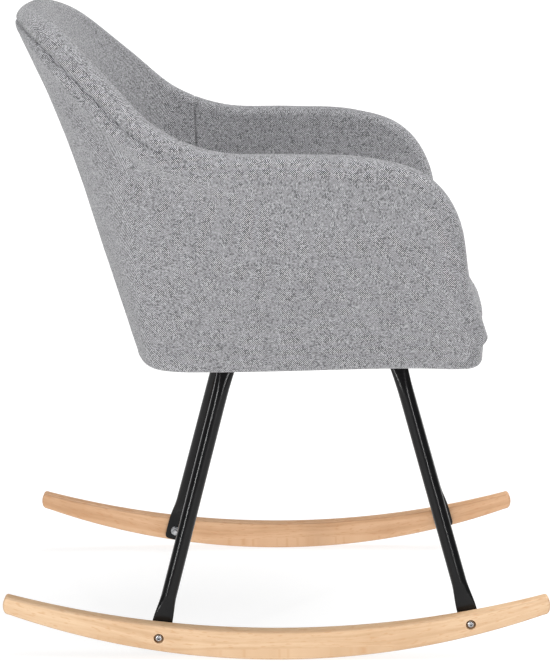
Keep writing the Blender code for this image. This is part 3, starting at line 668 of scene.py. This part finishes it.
def build_tub(fabric):
    whole = amounts_between(-1.0, 1.0, STATION_COUNT)
    rings = np.array([outer_ring(station(a)) for a in whole])
    outer = loft("outer_cover", rings, fabric)
    box_mapped(outer.data)
    add_piece(outer, "grey_fabric", "outer_pad")
    split = PANEL_SPLIT
    panels = {
        "inner_back_cover": (amounts_between(-split, split, 75, (-split, split)), "inner_back_pad"),
        "inner_arm_cover_left": (amounts_between(split, 1.0, 49, (split,)), "inner_arm_pad_left"),
        "inner_arm_cover_right": (amounts_between(-1.0, -split, 49, (-split,)), "inner_arm_pad_right"),
    }
    for name, (amounts, node) in panels.items():
        rings = np.array([inner_ring(station(a)) for a in amounts])
        panel = loft(name, rings, fabric)
        box_mapped(panel.data)
        add_piece(panel, "grey_fabric", node)


# ---------------------------------------------------------------- seat


def build_front_band(fabric):
    """The padded rail below the cushion, from one arm's foot round to the other's."""
    low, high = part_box("front_band")
    half, rounding = BAND_THICKNESS / 2, BAND_ROUNDING
    spread = np.linspace(-BAND_HALF_SPAN, BAND_HALF_SPAN, 15)
    bowed = [(x, BAND_FRONT_Y + BAND_BOW * x * x + half) for x in spread]
    path = np.array([(-x, y) for x, y in reversed(BAND_CORNER)] + bowed + list(BAND_CORNER))
    path = softened(resampled(path, 150))
    low_z = low.z + half
    rings = []
    for i, (x, y) in enumerate(path):
        along = path[min(i + 1, len(path) - 1)] - path[max(i - 1, 0)]
        if i in (0, len(path) - 1):
            along = np.array((0.0, -1.0 if i == 0 else 1.0))
        along = along / np.linalg.norm(along)
        out = np.array((along[1], -along[0]))
        top_z = high.z + 0.0015 - front_droop(np.array(x))
        profile = [(-half, low_z), (-half, top_z)]
        for a in np.radians(np.linspace(90, 0, 9)):
            out_to, up_to = rounding * (math.cos(a) - 1), rounding * (math.sin(a) - 1)
            profile.append((half + out_to, top_z + up_to))
        profile += [(half, z) for z in np.linspace(top_z - rounding, low_z, 6)[1:-1]]
        under = np.radians(np.linspace(0, 170, 18))
        profile += [(half * math.cos(a), low_z - half * math.sin(a)) for a in under]
        rings.append([(x + out[0] * o, y + out[1] * o, z) for o, z in profile])
    band = loft("front_band_cover", rings, fabric)
    box_mapped(band.data)
    add_piece(band, "grey_fabric", "front_band")


def front_droop(x):
    """How far the cushion hangs over the front band: fully in the middle, not at all at the corners."""
    return FRONT_DROOP * (1 - smooth_step((abs(x) - 0.135) / 0.022))


def run_lengths(path):
    """How far along the path each of its points lies."""
    return np.concatenate([[0.0], np.cumsum(np.linalg.norm(np.diff(path, axis=0), axis=1))])


def resampled(path, count):
    """Evenly spaced points on a path in plan."""
    lengths = run_lengths(path)
    even = np.linspace(0, lengths[-1], count)
    return np.stack([np.interp(even, lengths, path[:, axis]) for axis in (0, 1)], axis=1)


def softened(points):
    """The path with its bends smoothed, and its two ends left in place."""
    for _ in range(12):
        points[1:-1] = (points[:-2] + 2 * points[1:-1] + points[2:]) / 4
    return points


def rounded_plan(half_width, front_y, rear_y, inset):
    """Plan outline of the cushion, with rounded corners and a bowed front edge."""
    points = []
    corners = (
        (1, rear_y, CUSHION_REAR_RADIUS, 0), (-1, rear_y, CUSHION_REAR_RADIUS, 90),
        (-1, front_y, CUSHION_FRONT_RADIUS, 180), (1, front_y, CUSHION_FRONT_RADIUS, 270),
    )
    for side, edge_y, radius, start in corners:
        centre_x = side * (half_width - radius)
        centre_y = edge_y + radius * (-1 if start < 180 else 1)
        for angle in np.radians(np.linspace(start, start + 90, 13)):
            reach = radius - inset
            points.append((centre_x + reach * math.cos(angle), centre_y + reach * math.sin(angle)))
    points = resampled(np.array(points + points[:1]), 97)[:-1]
    middle = (front_y + rear_y) / 2
    towards_front = np.clip((middle - points[:, 1]) / (middle - front_y), 0, 1)
    points[:, 1] -= CUSHION_BOW * towards_front**2 * (1 - (points[:, 0] / half_width) ** 2)
    return points


def cushion_rings(low, high):
    """Layers of the boxed cushion before it is filled, from the bottom to the crown."""
    height = high.z - low.z - 0.013
    half_width, front_y, rear_y = high.x - 0.002, low.y + 0.007, high.y - 0.002
    layers = [(0.030, 0.0), (0.008, 0.0005), (0.002, 0.004), (-0.002, 0.010), (-0.007, 0.020)]
    layers += [(-0.010, 0.028), (-0.009, 0.036), (-0.002, height - 0.004), (0.012, height)]
    rings = []
    for inset, rise in layers:
        plan = rounded_plan(half_width, front_y, rear_y, inset)
        forwards = np.clip((-0.20 - plan[:, 1]) / 0.05, 0, 1)
        plan[:, 1] -= min(inset, 0.0) * 0.7 * forwards
        rings.append(np.column_stack([plan, np.full(len(plan), low.z + rise)]))
    centre = np.array((0.0, (front_y + rear_y) / 2, 0.0))
    edge = rings[-1]
    for scale in np.linspace(0.88, 0.04, 12):
        ring = centre + (edge - centre) * scale
        ring[:, 2] = low.z + height + 0.011 * (1 - scale**2.2)
        rings.append(ring)
    return rings


def around(points):
    """Angle, from the front round by the sitter's left, and distance of points from the seat's middle."""
    x, y = points[:, 0], points[:, 1] - SEAT_MIDDLE_Y
    return (np.degrees(np.arctan2(y, x)) + 90) % 360, np.hypot(x, y)


def kept_inside_tub(points):
    """Points drawn in towards the seat's middle wherever they would press into the padded wall."""
    places = [station(amount) for amount in np.linspace(-0.985, 0.985, 90)]
    levels = np.linspace(BOARD_TOP_Z, BOARD_TOP_Z + 0.08, 5)
    angles, distances = around(points)
    reaches = []
    for z in levels:
        heights = [np.array([height_of(place, z, WALL_THICKNESS)]) for place in places]
        wall = np.array([wall_points(p, h, pad_depths(p, h))[0] for p, h in zip(places, heights)])
        wall_angles, wall_reach = around(wall)
        order = np.argsort(wall_angles)
        ends = {"left": 1.0, "right": 1.0}
        reaches.append(np.interp(angles, wall_angles[order], wall_reach[order], **ends))
    share = np.clip((points[:, 2] - levels[0]) / (levels[-1] - levels[0]), 0, 1) * (len(levels) - 1)
    below = np.minimum(share.astype(int), len(levels) - 2)
    reaches, rows = np.array(reaches), np.arange(len(points))
    reach = reaches[below, rows] + (reaches[below + 1, rows] - reaches[below, rows]) * (share - below)
    pull = np.minimum(1.0, (reach - 0.0012) / np.maximum(distances, 1e-6))
    drawn = points.copy()
    drawn[:, 0] *= pull
    drawn[:, 1] = SEAT_MIDDLE_Y + (points[:, 1] - SEAT_MIDDLE_Y) * pull
    return drawn


def filled(piece, keep_below):
    """Blows the piece up by cloth simulation, with its points under keep_below held still."""
    pinned = piece.vertex_groups.new(name="pinned")
    pinned.add([v.index for v in piece.data.vertices if v.co.z < keep_below], 1.0, "REPLACE")
    start = np.array([v.co for v in piece.data.vertices])
    cloth = piece.modifiers.new("filling", "CLOTH")
    cloth.settings.vertex_group_mass = "pinned"
    cloth.settings.use_pressure = True
    cloth.settings.uniform_pressure_force = FILLING_PRESSURE
    cloth.settings.quality = 6
    cloth.settings.mass = 0.25
    cloth.settings.effector_weights.gravity = 0.0
    cloth.point_cache.frame_start = 1
    cloth.point_cache.frame_end = FILLING_FRAMES
    for number in range(1, FILLING_FRAMES + 1):
        bpy.context.scene.frame_set(number)
    graph = bpy.context.evaluated_depsgraph_get()
    moved = np.array([v.co for v in piece.evaluated_get(graph).data.vertices])
    piece.modifiers.remove(cloth)
    bpy.context.scene.frame_set(1)
    shift = moved - start
    length = np.linalg.norm(shift, axis=1, keepdims=True)
    shift *= np.minimum(1.0, FILLING_MOST / np.maximum(length, 1e-9))
    piece.data.vertices.foreach_set("co", (start + shift).astype(np.float32).ravel())
    piece.vertex_groups.remove(pinned)


def build_cushion(fabric):
    low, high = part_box("seat_cushion")
    cushion = loft("seat_cushion_cover", cushion_rings(low, high), fabric)
    remesh = cushion.modifiers.new("even", "REMESH")
    remesh.mode = "VOXEL"
    remesh.voxel_size = CUSHION_VOXEL
    apply_modifiers(cushion)
    filled(cushion, low.z + 0.004)
    smooth = cushion.modifiers.new("smooth", "SMOOTH")
    smooth.factor = 0.6
    smooth.iterations = 4
    finer = cushion.modifiers.new("finer", "SUBSURF")
    finer.levels = finer.render_levels = 1
    apply_modifiers(cushion)
    shape_border(cushion, low)
    box_mapped(cushion.data)
    cushion.data.shade_smooth()
    add_piece(cushion, "grey_fabric", "seat_cushion")


def shape_border(cushion, low):
    """Sinks the seam above the bottom panel and hangs the front edge over the front band."""
    mesh = cushion.data
    points, normals = read_points(mesh), read_normals(mesh)
    away = (points[:, 2] - (low.z + 0.008)) / 0.0022
    depth = CUSHION_SEAM_DEPTH * np.exp(-(away**2)) * (abs(normals[:, 2]) < 0.9)
    points -= normals * depth[:, None]
    over_band = smooth_step((-0.2465 - points[:, 1] + 0.30 * points[:, 0] ** 2) / 0.008)
    low_down = smooth_step(1 - (points[:, 2] - low.z) / 0.036)
    points[:, 2] -= front_droop(points[:, 0]) * over_band * low_down
    points = kept_inside_tub(points)
    mesh.vertices.foreach_set("co", points.astype(np.float32).ravel())


def apply_modifiers(piece):
    """Replaces the piece's mesh by what its modifiers make of it."""
    graph = bpy.context.evaluated_depsgraph_get()
    made = bpy.data.meshes.new_from_object(piece.evaluated_get(graph))
    old = piece.data
    piece.modifiers.clear()
    piece.data = made
    made.name = piece.name
    bpy.data.meshes.remove(old)


def crossing(way, start, end):
    """How far out a level edge crosses the ray from the origin along way; 0 if it doesn't."""
    first, second = way.x * start.y - way.y * start.x, way.x * end.y - way.y * end.x
    if first * second > 0 or abs(first - second) < 1e-12:
        return 0.0
    return max(0.0, start.lerp(end, first / (first - second)).dot(way))


def build_staples(steel):
    """Staples that hold the dust cover to the board, set in from its edge."""
    cover = frame["nodes"]["dust_cover"].data
    low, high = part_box("dust_cover")
    middle = Vector(((low.x + high.x) / 2, (low.y + high.y) / 2, 0))
    angles = np.radians(np.arange(0, 360, 12) + 6)
    rims = [Vector((v.co.x, v.co.y, 0)) - middle for v in cover.vertices]
    edges = [(rims[e.vertices[0]], rims[e.vertices[1]]) for e in cover.edges]
    parts = bmesh.new()
    for angle in angles:
        way = Vector((math.cos(angle), math.sin(angle), 0))
        reach = max(crossing(way, *edge) for edge in edges) - 0.009
        place = middle + way * reach + Vector((0, 0, low.z - 0.0002))
        turn = Matrix.Translation(place) @ Matrix.Rotation(angle + math.pi / 2, 4, "Z")
        made = bmesh.ops.create_cube(parts, size=1.0)
        size = Matrix.Diagonal((0.0105, 0.0012, 0.0007, 1.0))
        bmesh.ops.transform(parts, matrix=turn @ size, verts=made["verts"])
    bmesh.ops.bevel(parts, geom=parts.edges[:], offset=0.00025, segments=2, affect="EDGES")
    mesh = bpy.data.meshes.new("staples")
    parts.to_mesh(mesh)
    parts.free()
    add_piece(finish_mesh("staples", mesh, steel), "zinc_steel")


# ---------------------------------------------------------------- rockers


def arc_points(radius, lift):
    """Points (y, z) of a sagging arc from front to rear, lowest in the middle."""
    half_angle = math.asin(ROCKER_HALF_CHORD / radius)
    angles = np.linspace(-half_angle, half_angle, ROCKER_ARC_STEPS + 1)
    return np.stack([radius * np.sin(angles), lift + radius * (1 - np.cos(angles))], axis=1)


def rocker_outline():
    foot, top = arc_points(ROCKER_FOOT_RADIUS, 0.0), arc_points(ROCKER_TOP_RADIUS, ROCKER_DEPTH)
    low, high = foot[-1], top[-1]
    middle = (low + high) / 2
    half = (high[1] - low[1]) / 2
    slope = math.asin(ROCKER_HALF_CHORD / ROCKER_FOOT_RADIUS) * 0.85
    tip = []
    for angle in np.radians(np.linspace(-78, 78, 21)):
        reach = ROCKER_TIP_REACH * math.cos(angle) ** 0.55
        climb = half * math.sin(angle)
        y = middle[0] + reach * math.cos(slope) - climb * math.sin(slope) * 0.3
        tip.append((y, middle[1] + reach * math.sin(slope) + climb))
    tip = np.array(tip)
    front_tip = tip[::-1] * (-1, 1)
    return np.concatenate([foot, tip, top[::-1], front_tip])


def shrunk(outline, amount):
    """The outline moved inwards by the amount."""
    before, after = np.roll(outline, 1, axis=0), np.roll(outline, -1, axis=0)
    first, second = unit(outline - before), unit(after - outline)
    normal = unit(np.stack([-(first[:, 1] + second[:, 1]), first[:, 0] + second[:, 0]], axis=1))
    square = np.stack([-first[:, 1], first[:, 0]], axis=1)
    stretch = 1 / np.maximum(0.6, (normal * square).sum(axis=1))
    return outline + normal * amount * stretch[:, None]


def add_grain(mesh, outer_x, inner_x):
    """Stores the wood's own coordinates and how close each point lies to a rounded edge, where the beech
    gets painted shade.
    """
    points = read_points(mesh)
    x, y, over = points[:, 0], points[:, 1], ROCKER_FOOT_RADIUS - points[:, 2]
    along = ROCKER_FOOT_RADIUS * np.arctan2(y, over)
    wood = np.stack([along, np.hypot(y, over), x], axis=1)
    grain = mesh.attributes.new("grain", "FLOAT_VECTOR", "POINT")
    grain.data.foreach_set("vector", wood.astype(np.float32).ravel())
    near = np.minimum(abs(abs(x) - outer_x), abs(abs(x) - inner_x))
    edge = mesh.attributes.new("edge", "FLOAT", "POINT")
    edge.data.foreach_set("value", np.exp(-(((near - 0.0011) / 0.0008) ** 2)).astype(np.float32))


def build_rockers():
    outline = rocker_outline()
    for name, side in SIDES.items():
        beech = beech_material(f"lacquered_beech_{name}", BEECH_TINTS[name])
        low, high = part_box(f"rocker_{name}")
        inner_x, outer_x = sorted((abs(low.x), abs(high.x)))
        rings = []
        quarter = np.radians(np.linspace(0, 90, 7))
        for a in quarter:
            inset = ROCKER_ROUNDING * (1 - math.sin(a))
            rings.append((inner_x + ROCKER_ROUNDING * (1 - math.cos(a)), inset))
        for a in quarter[::-1]:
            inset = ROCKER_ROUNDING * (1 - math.sin(a))
            rings.append((outer_x - ROCKER_ROUNDING * (1 - math.cos(a)), inset))
        built = []
        for x, inset in rings:
            shape = shrunk(outline, inset) if inset > 1e-9 else outline
            built.append(np.column_stack([np.full(len(shape), side * x), shape]))
        rocker = loft(f"rocker_{name}_wood", built, beech, sharp=35)
        cut_rocker_holes(rocker, side, inner_x, outer_x)
        add_grain(rocker.data, outer_x, inner_x)
        add_piece(rocker, "beech", f"rocker_{name}")


def cut_rocker_holes(rocker, side, inner_x, outer_x):
    for bolt in LEG_PLACES.values():
        y, z = bolt["bolt_y"], bolt["bolt_z"]
        middle = side * (inner_x + outer_x) / 2
        for x, radius, length in (
            (middle, BOLT_HOLE_RADIUS, 0.05),
            (side * outer_x, COUNTERBORE_RADIUS, 2 * COUNTERBORE_DEPTH),
        ):
            place = Matrix.Translation((x, y, z)) @ Matrix.Rotation(math.pi / 2, 4, "Y")
            cut_hole(rocker, place, radius, length)
    apply_modifiers(rocker)
    rocker.data.set_sharp_from_angle(angle=math.radians(35))
    for cutter in [o for o in bpy.data.objects if o.name.startswith("hole_cutter")]:
        bpy.data.objects.remove(cutter)


def cut_hole(piece, place, radius, length):
    bpy.ops.mesh.primitive_cylinder_add(vertices=48, radius=radius, depth=length)
    cutter = bpy.context.object
    cutter.name = "hole_cutter"
    cutter.matrix_world = place
    cutter.hide_render = True
    cut = piece.modifiers.new("hole", "BOOLEAN")
    cut.operation = "DIFFERENCE"
    cut.solver = "EXACT"
    cut.object = cutter


# ---------------------------------------------------------------- legs


def leg_stops(place, tab_x, tab_z):
    """Stops down one leg: centre, width direction, half width, half thickness, squareness."""
    top_y, bolt_y, bolt_z = place["top_y"], place["bolt_y"], place["bolt_z"]
    lean = (bolt_y - top_y) / (bolt_z - LEG_TOP_Z)
    across = unit(np.array((0.0, 1.0, -lean)))
    level = np.array((0.0, 1.0, 0.0))

    def at(x, z):
        return np.array((x, top_y + lean * (z - LEG_TOP_Z), z))

    tab_y = top_y + lean * (tab_z - LEG_TOP_Z)
    end_z = bolt_z - 0.0140 * math.cos(math.atan(lean))
    wide, low_wide, thin, tube = TAB_HALF_WIDTH, LOW_TAB_HALF_WIDTH, TAB_HALF_THICKNESS, TUBE_RADIUS
    round_z = bolt_z + LEG_ROUND_ABOVE_BOLT
    flat_top = [(np.array((x, tab_y, tab_z)), level, w, thin, 5.0) for x, w in (
        (0.1130, 0.0100), (0.1145, 0.0124), (0.1170, 0.0137), (0.1210, wide), (0.1680, wide))]
    return flat_top + [
        (np.array((0.1755, tab_y, tab_z - 0.0022)), unit(across + level), 0.0128, 0.0030, 4.0),
        (at(0.1795, tab_z - 0.0090), across, 0.0114, 0.0045, 3.0),
        (at(LEG_TOP_X, LEG_TOP_Z), across, 0.0104, 0.0068, 2.4),
        *[(at(x, z), across, tube, tube, 2.0) for x, z in LEG_ROUND_FROM],
        (at(LEG_LOW_X, round_z), across, tube, tube, 2.0),
        (at(LEG_LOW_X + 0.0022, round_z - 0.010), across, 0.0102, 0.0073, 2.4),
        (at(tab_x - 0.0014, round_z - 0.021), across, 0.0116, 0.0039, 3.2),
        (at(tab_x, round_z - 0.031), across, low_wide, thin, 5.0),
        (at(tab_x, end_z + 0.0060), across, low_wide, thin, 5.0),
        (at(tab_x, end_z + 0.0025), across, 0.0117, thin, 5.0),
        (at(tab_x, end_z + 0.0006), across, 0.0100, thin, 5.0),
        (at(tab_x, end_z), across, 0.0080, thin, 5.0),
    ]


def section(half_width, half_thickness, squareness):
    """Cross-section of the tube, from round (squareness 2) to a flat strap."""
    angles = 2 * math.pi * (np.arange(LEG_SIDES) + 0.5) / LEG_SIDES
    c, s = np.cos(angles), np.sin(angles)
    power = 2 / squareness
    width = half_width * np.copysign(np.abs(c) ** power, c)
    return np.stack([width, half_thickness * np.copysign(np.abs(s) ** power, s)], axis=1)


def leg_rings(place, side, tab_x, tab_z):
    stops = leg_stops(place, tab_x, tab_z)
    centres = np.array([s[0] for s in stops])
    widths = np.array([s[1] for s in stops])
    sizes = np.array([s[2:] for s in stops])
    at = run_lengths(centres)
    runs = [np.linspace(a, b, LEG_RINGS_PER_STOP, endpoint=False) for a, b in zip(at, at[1:])]
    fine = np.concatenate(runs + [at[-1:]])
    values = [np.interp(fine, at, column) for column in np.hstack([centres, widths, sizes]).T]
    values = np.array(values).T
    for _ in range(5):
        values[1:-1] = smoothed_values(values, fine)
    rings = []
    for i, row in enumerate(values):
        centre, width_way = row[:3], unit(row[3:6])
        forward = unit(values[min(i + 1, len(values) - 1), :3] - values[max(i - 1, 0), :3])
        thin_way = unit(np.cross(forward, width_way))
        cut = section(*row[6:])
        ring = centre + cut[:, :1] * width_way + cut[:, 1:] * thin_way
        ring[:, 0] *= side
        rings.append(ring)
    return rings


def smoothed_values(values, at):
    """One round of smoothing that leaves straight runs straight, however the stops are spaced."""
    before, here, after = values[:-2], values[1:-1], values[2:]
    share = ((at[1:-1] - at[:-2]) / (at[2:] - at[:-2]))[:, None]
    straight = before * (1 - share) + after * share
    return (here + straight) / 2


def build_legs(black):
    for end, place in LEG_PLACES.items():
        for name, side in SIDES.items():
            node = f"leg_{end}_{name}"
            low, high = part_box(node)
            tab_x = max(abs(low.x), abs(high.x)) - TAB_HALF_THICKNESS
            tab_z = high.z - TAB_HALF_THICKNESS
            leg = loft(f"{node}_tube", leg_rings(place, side, tab_x, tab_z), black, sharp=50)
            add_piece(leg, "black_powder_coat", node)


# ---------------------------------------------------------------- fasteners


def fastener_place(node, axis, flip=False):
    """Matrix from local Z, length 1 along the fastener, to its place; also its length and radius."""
    low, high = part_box(node)
    middle = (low + high) / 2
    size = high - low
    spin = Matrix.Rotation(math.pi / 2, 4, "Y") if axis == 0 else Matrix.Identity(4)
    if flip:
        spin = spin @ Matrix.Rotation(math.pi, 4, "X")
    radius = (size[1] if axis == 0 else size[0]) / 2
    return Matrix.Translation(middle) @ spin, size[axis], radius


def placed(place, steps):
    """Rings of points from flat outlines, each with its level or a level for every point."""
    rings = []
    for outline, levels in steps:
        levels = np.broadcast_to(levels, len(outline))
        rings.append([tuple(place @ Vector((x, y, z))) for (x, y), z in zip(outline, levels)])
    return rings


def hexagon_outline(across, turn=0.0):
    """Outline of a hexagon by its width across the flats, with as many points as the round rings."""
    corners = circle(across / math.sqrt(3), 6, turn)
    each = FASTENER_SIDES // 6
    outline = []
    for i in range(6):
        start, end = corners[i], corners[(i + 1) % 6]
        outline += [start + (end - start) * j / each for j in range(each)]
    return np.array(outline)


def bolt_rings(place, length, radius, head_height, shank_radius, socket, domed):
    """Rings of a socket-head bolt: shank, head with a rounded shoulder, hexagon socket."""
    sides = FASTENER_SIDES
    top = length / 2
    under = top - head_height
    hexagon = hexagon_outline(socket, math.pi / 6)
    steps = [(circle(shank_radius - 0.0005, sides), -top), (circle(shank_radius, sides), -top + 0.0005)]
    steps += [(circle(shank_radius, sides), under), (circle(radius - 0.0003, sides), under)]
    steps += [(circle(radius, sides), under + 0.0003)]
    if domed:
        dome = radius * 0.62
        for a in np.radians(np.linspace(8, 82, 9)):
            ring_radius = radius - dome * (1 - math.cos(a))
            rise = head_height * (0.35 + 0.65 * math.sin(a) / math.sin(math.radians(82)))
            steps.append((circle(ring_radius, sides), under + rise))
        steps[-1] = (steps[-1][0], top)
    else:
        steps += [(circle(radius, sides), top - 0.0005), (circle(radius - 0.0005, sides), top)]
    turn = math.pi / 6
    spun = np.array([(math.cos(turn), math.sin(turn)), (-math.sin(turn), math.cos(turn))])
    steps = [(outline @ spun, z) for outline, z in steps]
    steps += [(hexagon * 1.06, top), (hexagon, top - 0.0003), (hexagon, top - head_height * 0.62)]
    return placed(place, steps)


def washer_rings(place, length, radius, hole):
    """A flat ring with softened edges, as a closed loop of rings."""
    half, soft = length / 2, 0.0002
    steps = (
        (radius - soft, -half), (radius, -half + soft), (radius, half - soft), (radius - soft, half),
        (hole + soft, half), (hole, half - soft), (hole, -half + soft), (hole + soft, -half),
    )
    return placed(place, [(circle(r, 40), z) for r, z in steps])


def nut_rings(place, length, across, hole):
    """A hexagon nut whose corners are turned down at both faces."""
    half = length / 2
    hexagon = hexagon_outline(across)
    reach = np.linalg.norm(hexagon, axis=1)
    face = hexagon * np.minimum(1.0, (across / 2 * 0.97) / reach)[:, None]
    drop = np.maximum(0.0, (reach - across / 2 * 0.97)) * 0.58
    inner, lip = circle(hole, FASTENER_SIDES), circle(hole + NUT_LIP, FASTENER_SIDES)
    soft = half - NUT_LIP
    steps = [(face, -half), (hexagon, -half + drop), (hexagon, half - drop), (face, half)]
    steps += [(lip, half), (inner, soft), (inner, -soft), (lip, -half)]
    return placed(place, steps)


def add_fastener(node, rings, steel, sharp=35, torus=True):
    add_piece(loft(f"{node}_steel", rings, steel, sharp, torus), "zinc_steel", node)


def build_fasteners(steel):
    for end in LEG_PLACES:
        for name, side in SIDES.items():
            build_rocker_fasteners(f"{end}_{name}", side, steel)
            for number in (1, 2):
                build_seat_fasteners(f"{end}_{name}_{number}", steel)


def build_rocker_fasteners(tag, side, steel):
    node = f"rocker_bolt_{tag}"
    place, length, _ = fastener_place(node, 0, side < 0)
    sizes = (BOLT_HEAD_RADIUS, BOLT_HEAD_HEIGHT, SHANK_RADIUS, SOCKET_ACROSS)
    add_fastener(node, bolt_rings(place, length, *sizes, True), steel, torus=False)
    node = f"rocker_washer_{tag}"
    place, length, radius = fastener_place(node, 0)
    add_fastener(node, washer_rings(place, length, radius, BOLT_HOLE_RADIUS), steel)
    node = f"rocker_nut_{tag}"
    place, length, _ = fastener_place(node, 0)
    add_fastener(node, nut_rings(place, length, NUT_ACROSS, BOLT_HOLE_RADIUS), steel, sharp=30)


def build_seat_fasteners(tag, steel):
    node = f"seat_screw_{tag}"
    place, length, radius = fastener_place(node, 2, True)
    sizes = (radius, SCREW_HEAD_HEIGHT, SHANK_RADIUS, SOCKET_ACROSS)
    add_fastener(node, bolt_rings(place, length, *sizes, False), steel, torus=False)
    node = f"seat_washer_{tag}"
    place, length, radius = fastener_place(node, 2)
    add_fastener(node, washer_rings(place, length, radius, BOLT_HOLE_RADIUS), steel)


# ---------------------------------------------------------------- scene


def dress_cad_nodes(steel):
    """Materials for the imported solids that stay: hidden structure and the dust cover."""
    lined_from = BOARD_BOTTOM_Z + 0.002
    board = plywood_material("birch_plywood", (0.62, 0.46, 0.30), (0.42, 0.29, 0.17), 0.0028, lined_from)
    shell = plywood_material("moulded_shell_brown", (0.060, 0.055, 0.050), (0.035, 0.032, 0.030), 0.0017)
    cloth = black_cloth_material()
    looks = {"seat_board": board, "shell_frame": shell, "dust_cover": cloth, "tee_nut": steel}
    for name, obj in frame["nodes"].items():
        for start, material in looks.items():
            if name.startswith(start):
                obj.data.materials.clear()
                obj.data.materials.append(material)


def add_lamp(name, kind, power, facing, place=(0, 0, 0)):
    """A lamp at a place, turned so that its light comes from the direction facing."""
    data = bpy.data.lights.new(name, kind)
    data.energy = power
    lamp = bpy.data.objects.new(name, data)
    bpy.context.scene.collection.objects.link(lamp)
    lamp.location = place
    lamp.rotation_euler = Vector(facing).to_track_quat("Z", "Y").to_euler()
    return data


def add_strip(name, place, width, power):
    """A tall narrow lamp, one metre high, that faces the chair and shows in the legs' gloss."""
    strip = add_lamp(name, "AREA", power, Vector(place) - Vector((0, 0, 0.3)), place)
    strip.shape = "RECTANGLE"
    strip.size, strip.size_y = width, 1.0


def add_sun(name, facing, power, spread):
    """A broad distant lamp."""
    add_lamp(name, "SUN", power, facing).angle = math.radians(spread)


def build_studio():
    scene = bpy.context.scene
    bpy.ops.mesh.primitive_plane_add(size=40.0, location=(0, 0, -0.0003))
    floor = bpy.context.object
    floor.name = "studio_floor"
    floor.data.materials.append(floor_material())
    world = bpy.data.worlds.new("studio")
    scene.world = world
    world.use_nodes = True
    sky = world.node_tree.nodes["Background"]
    sky.inputs["Color"].default_value = (1.0, 1.0, 1.0, 1.0)
    sky.inputs["Strength"].default_value = 0.20
    add_sun("key_above_front", (0.05, -0.34, 0.92), 3.2, 60)
    add_sun("fill_above_rear", (-0.50, 0.50, 0.70), 0.65, 50)
    add_strip("strip_front", (-2.99, -1.20, 0.75), 0.11, 18)
    add_strip("strip_rear", (-2.55, 2.02, 0.80), 0.15, 33)


def build_camera():
    data = bpy.data.cameras.new("camera")
    data.lens = CAMERA_LENS
    data.sensor_width = CAMERA_SENSOR
    data.sensor_fit = "AUTO"
    camera = bpy.data.objects.new("camera", data)
    bpy.context.scene.collection.objects.link(camera)
    camera.location = CAMERA_PLACE
    way = Vector((math.cos(CAMERA_DOWN), 0, -math.sin(CAMERA_DOWN)))
    camera.rotation_euler = way.to_track_quat("-Z", "Y").to_euler()
    bpy.context.scene.camera = camera
    bpy.context.scene.view_settings.view_transform = "Standard"


def build():
    build_camera()
    build_studio()
    fabric = fabric_material()
    steel = zinc_material()
    build_tub(fabric)
    build_front_band(fabric)
    build_cushion(fabric)
    build_rockers()
    build_legs(black_metal_material())
    build_fasteners(steel)
    build_staples(steel)
    dress_cad_nodes(steel)


build()
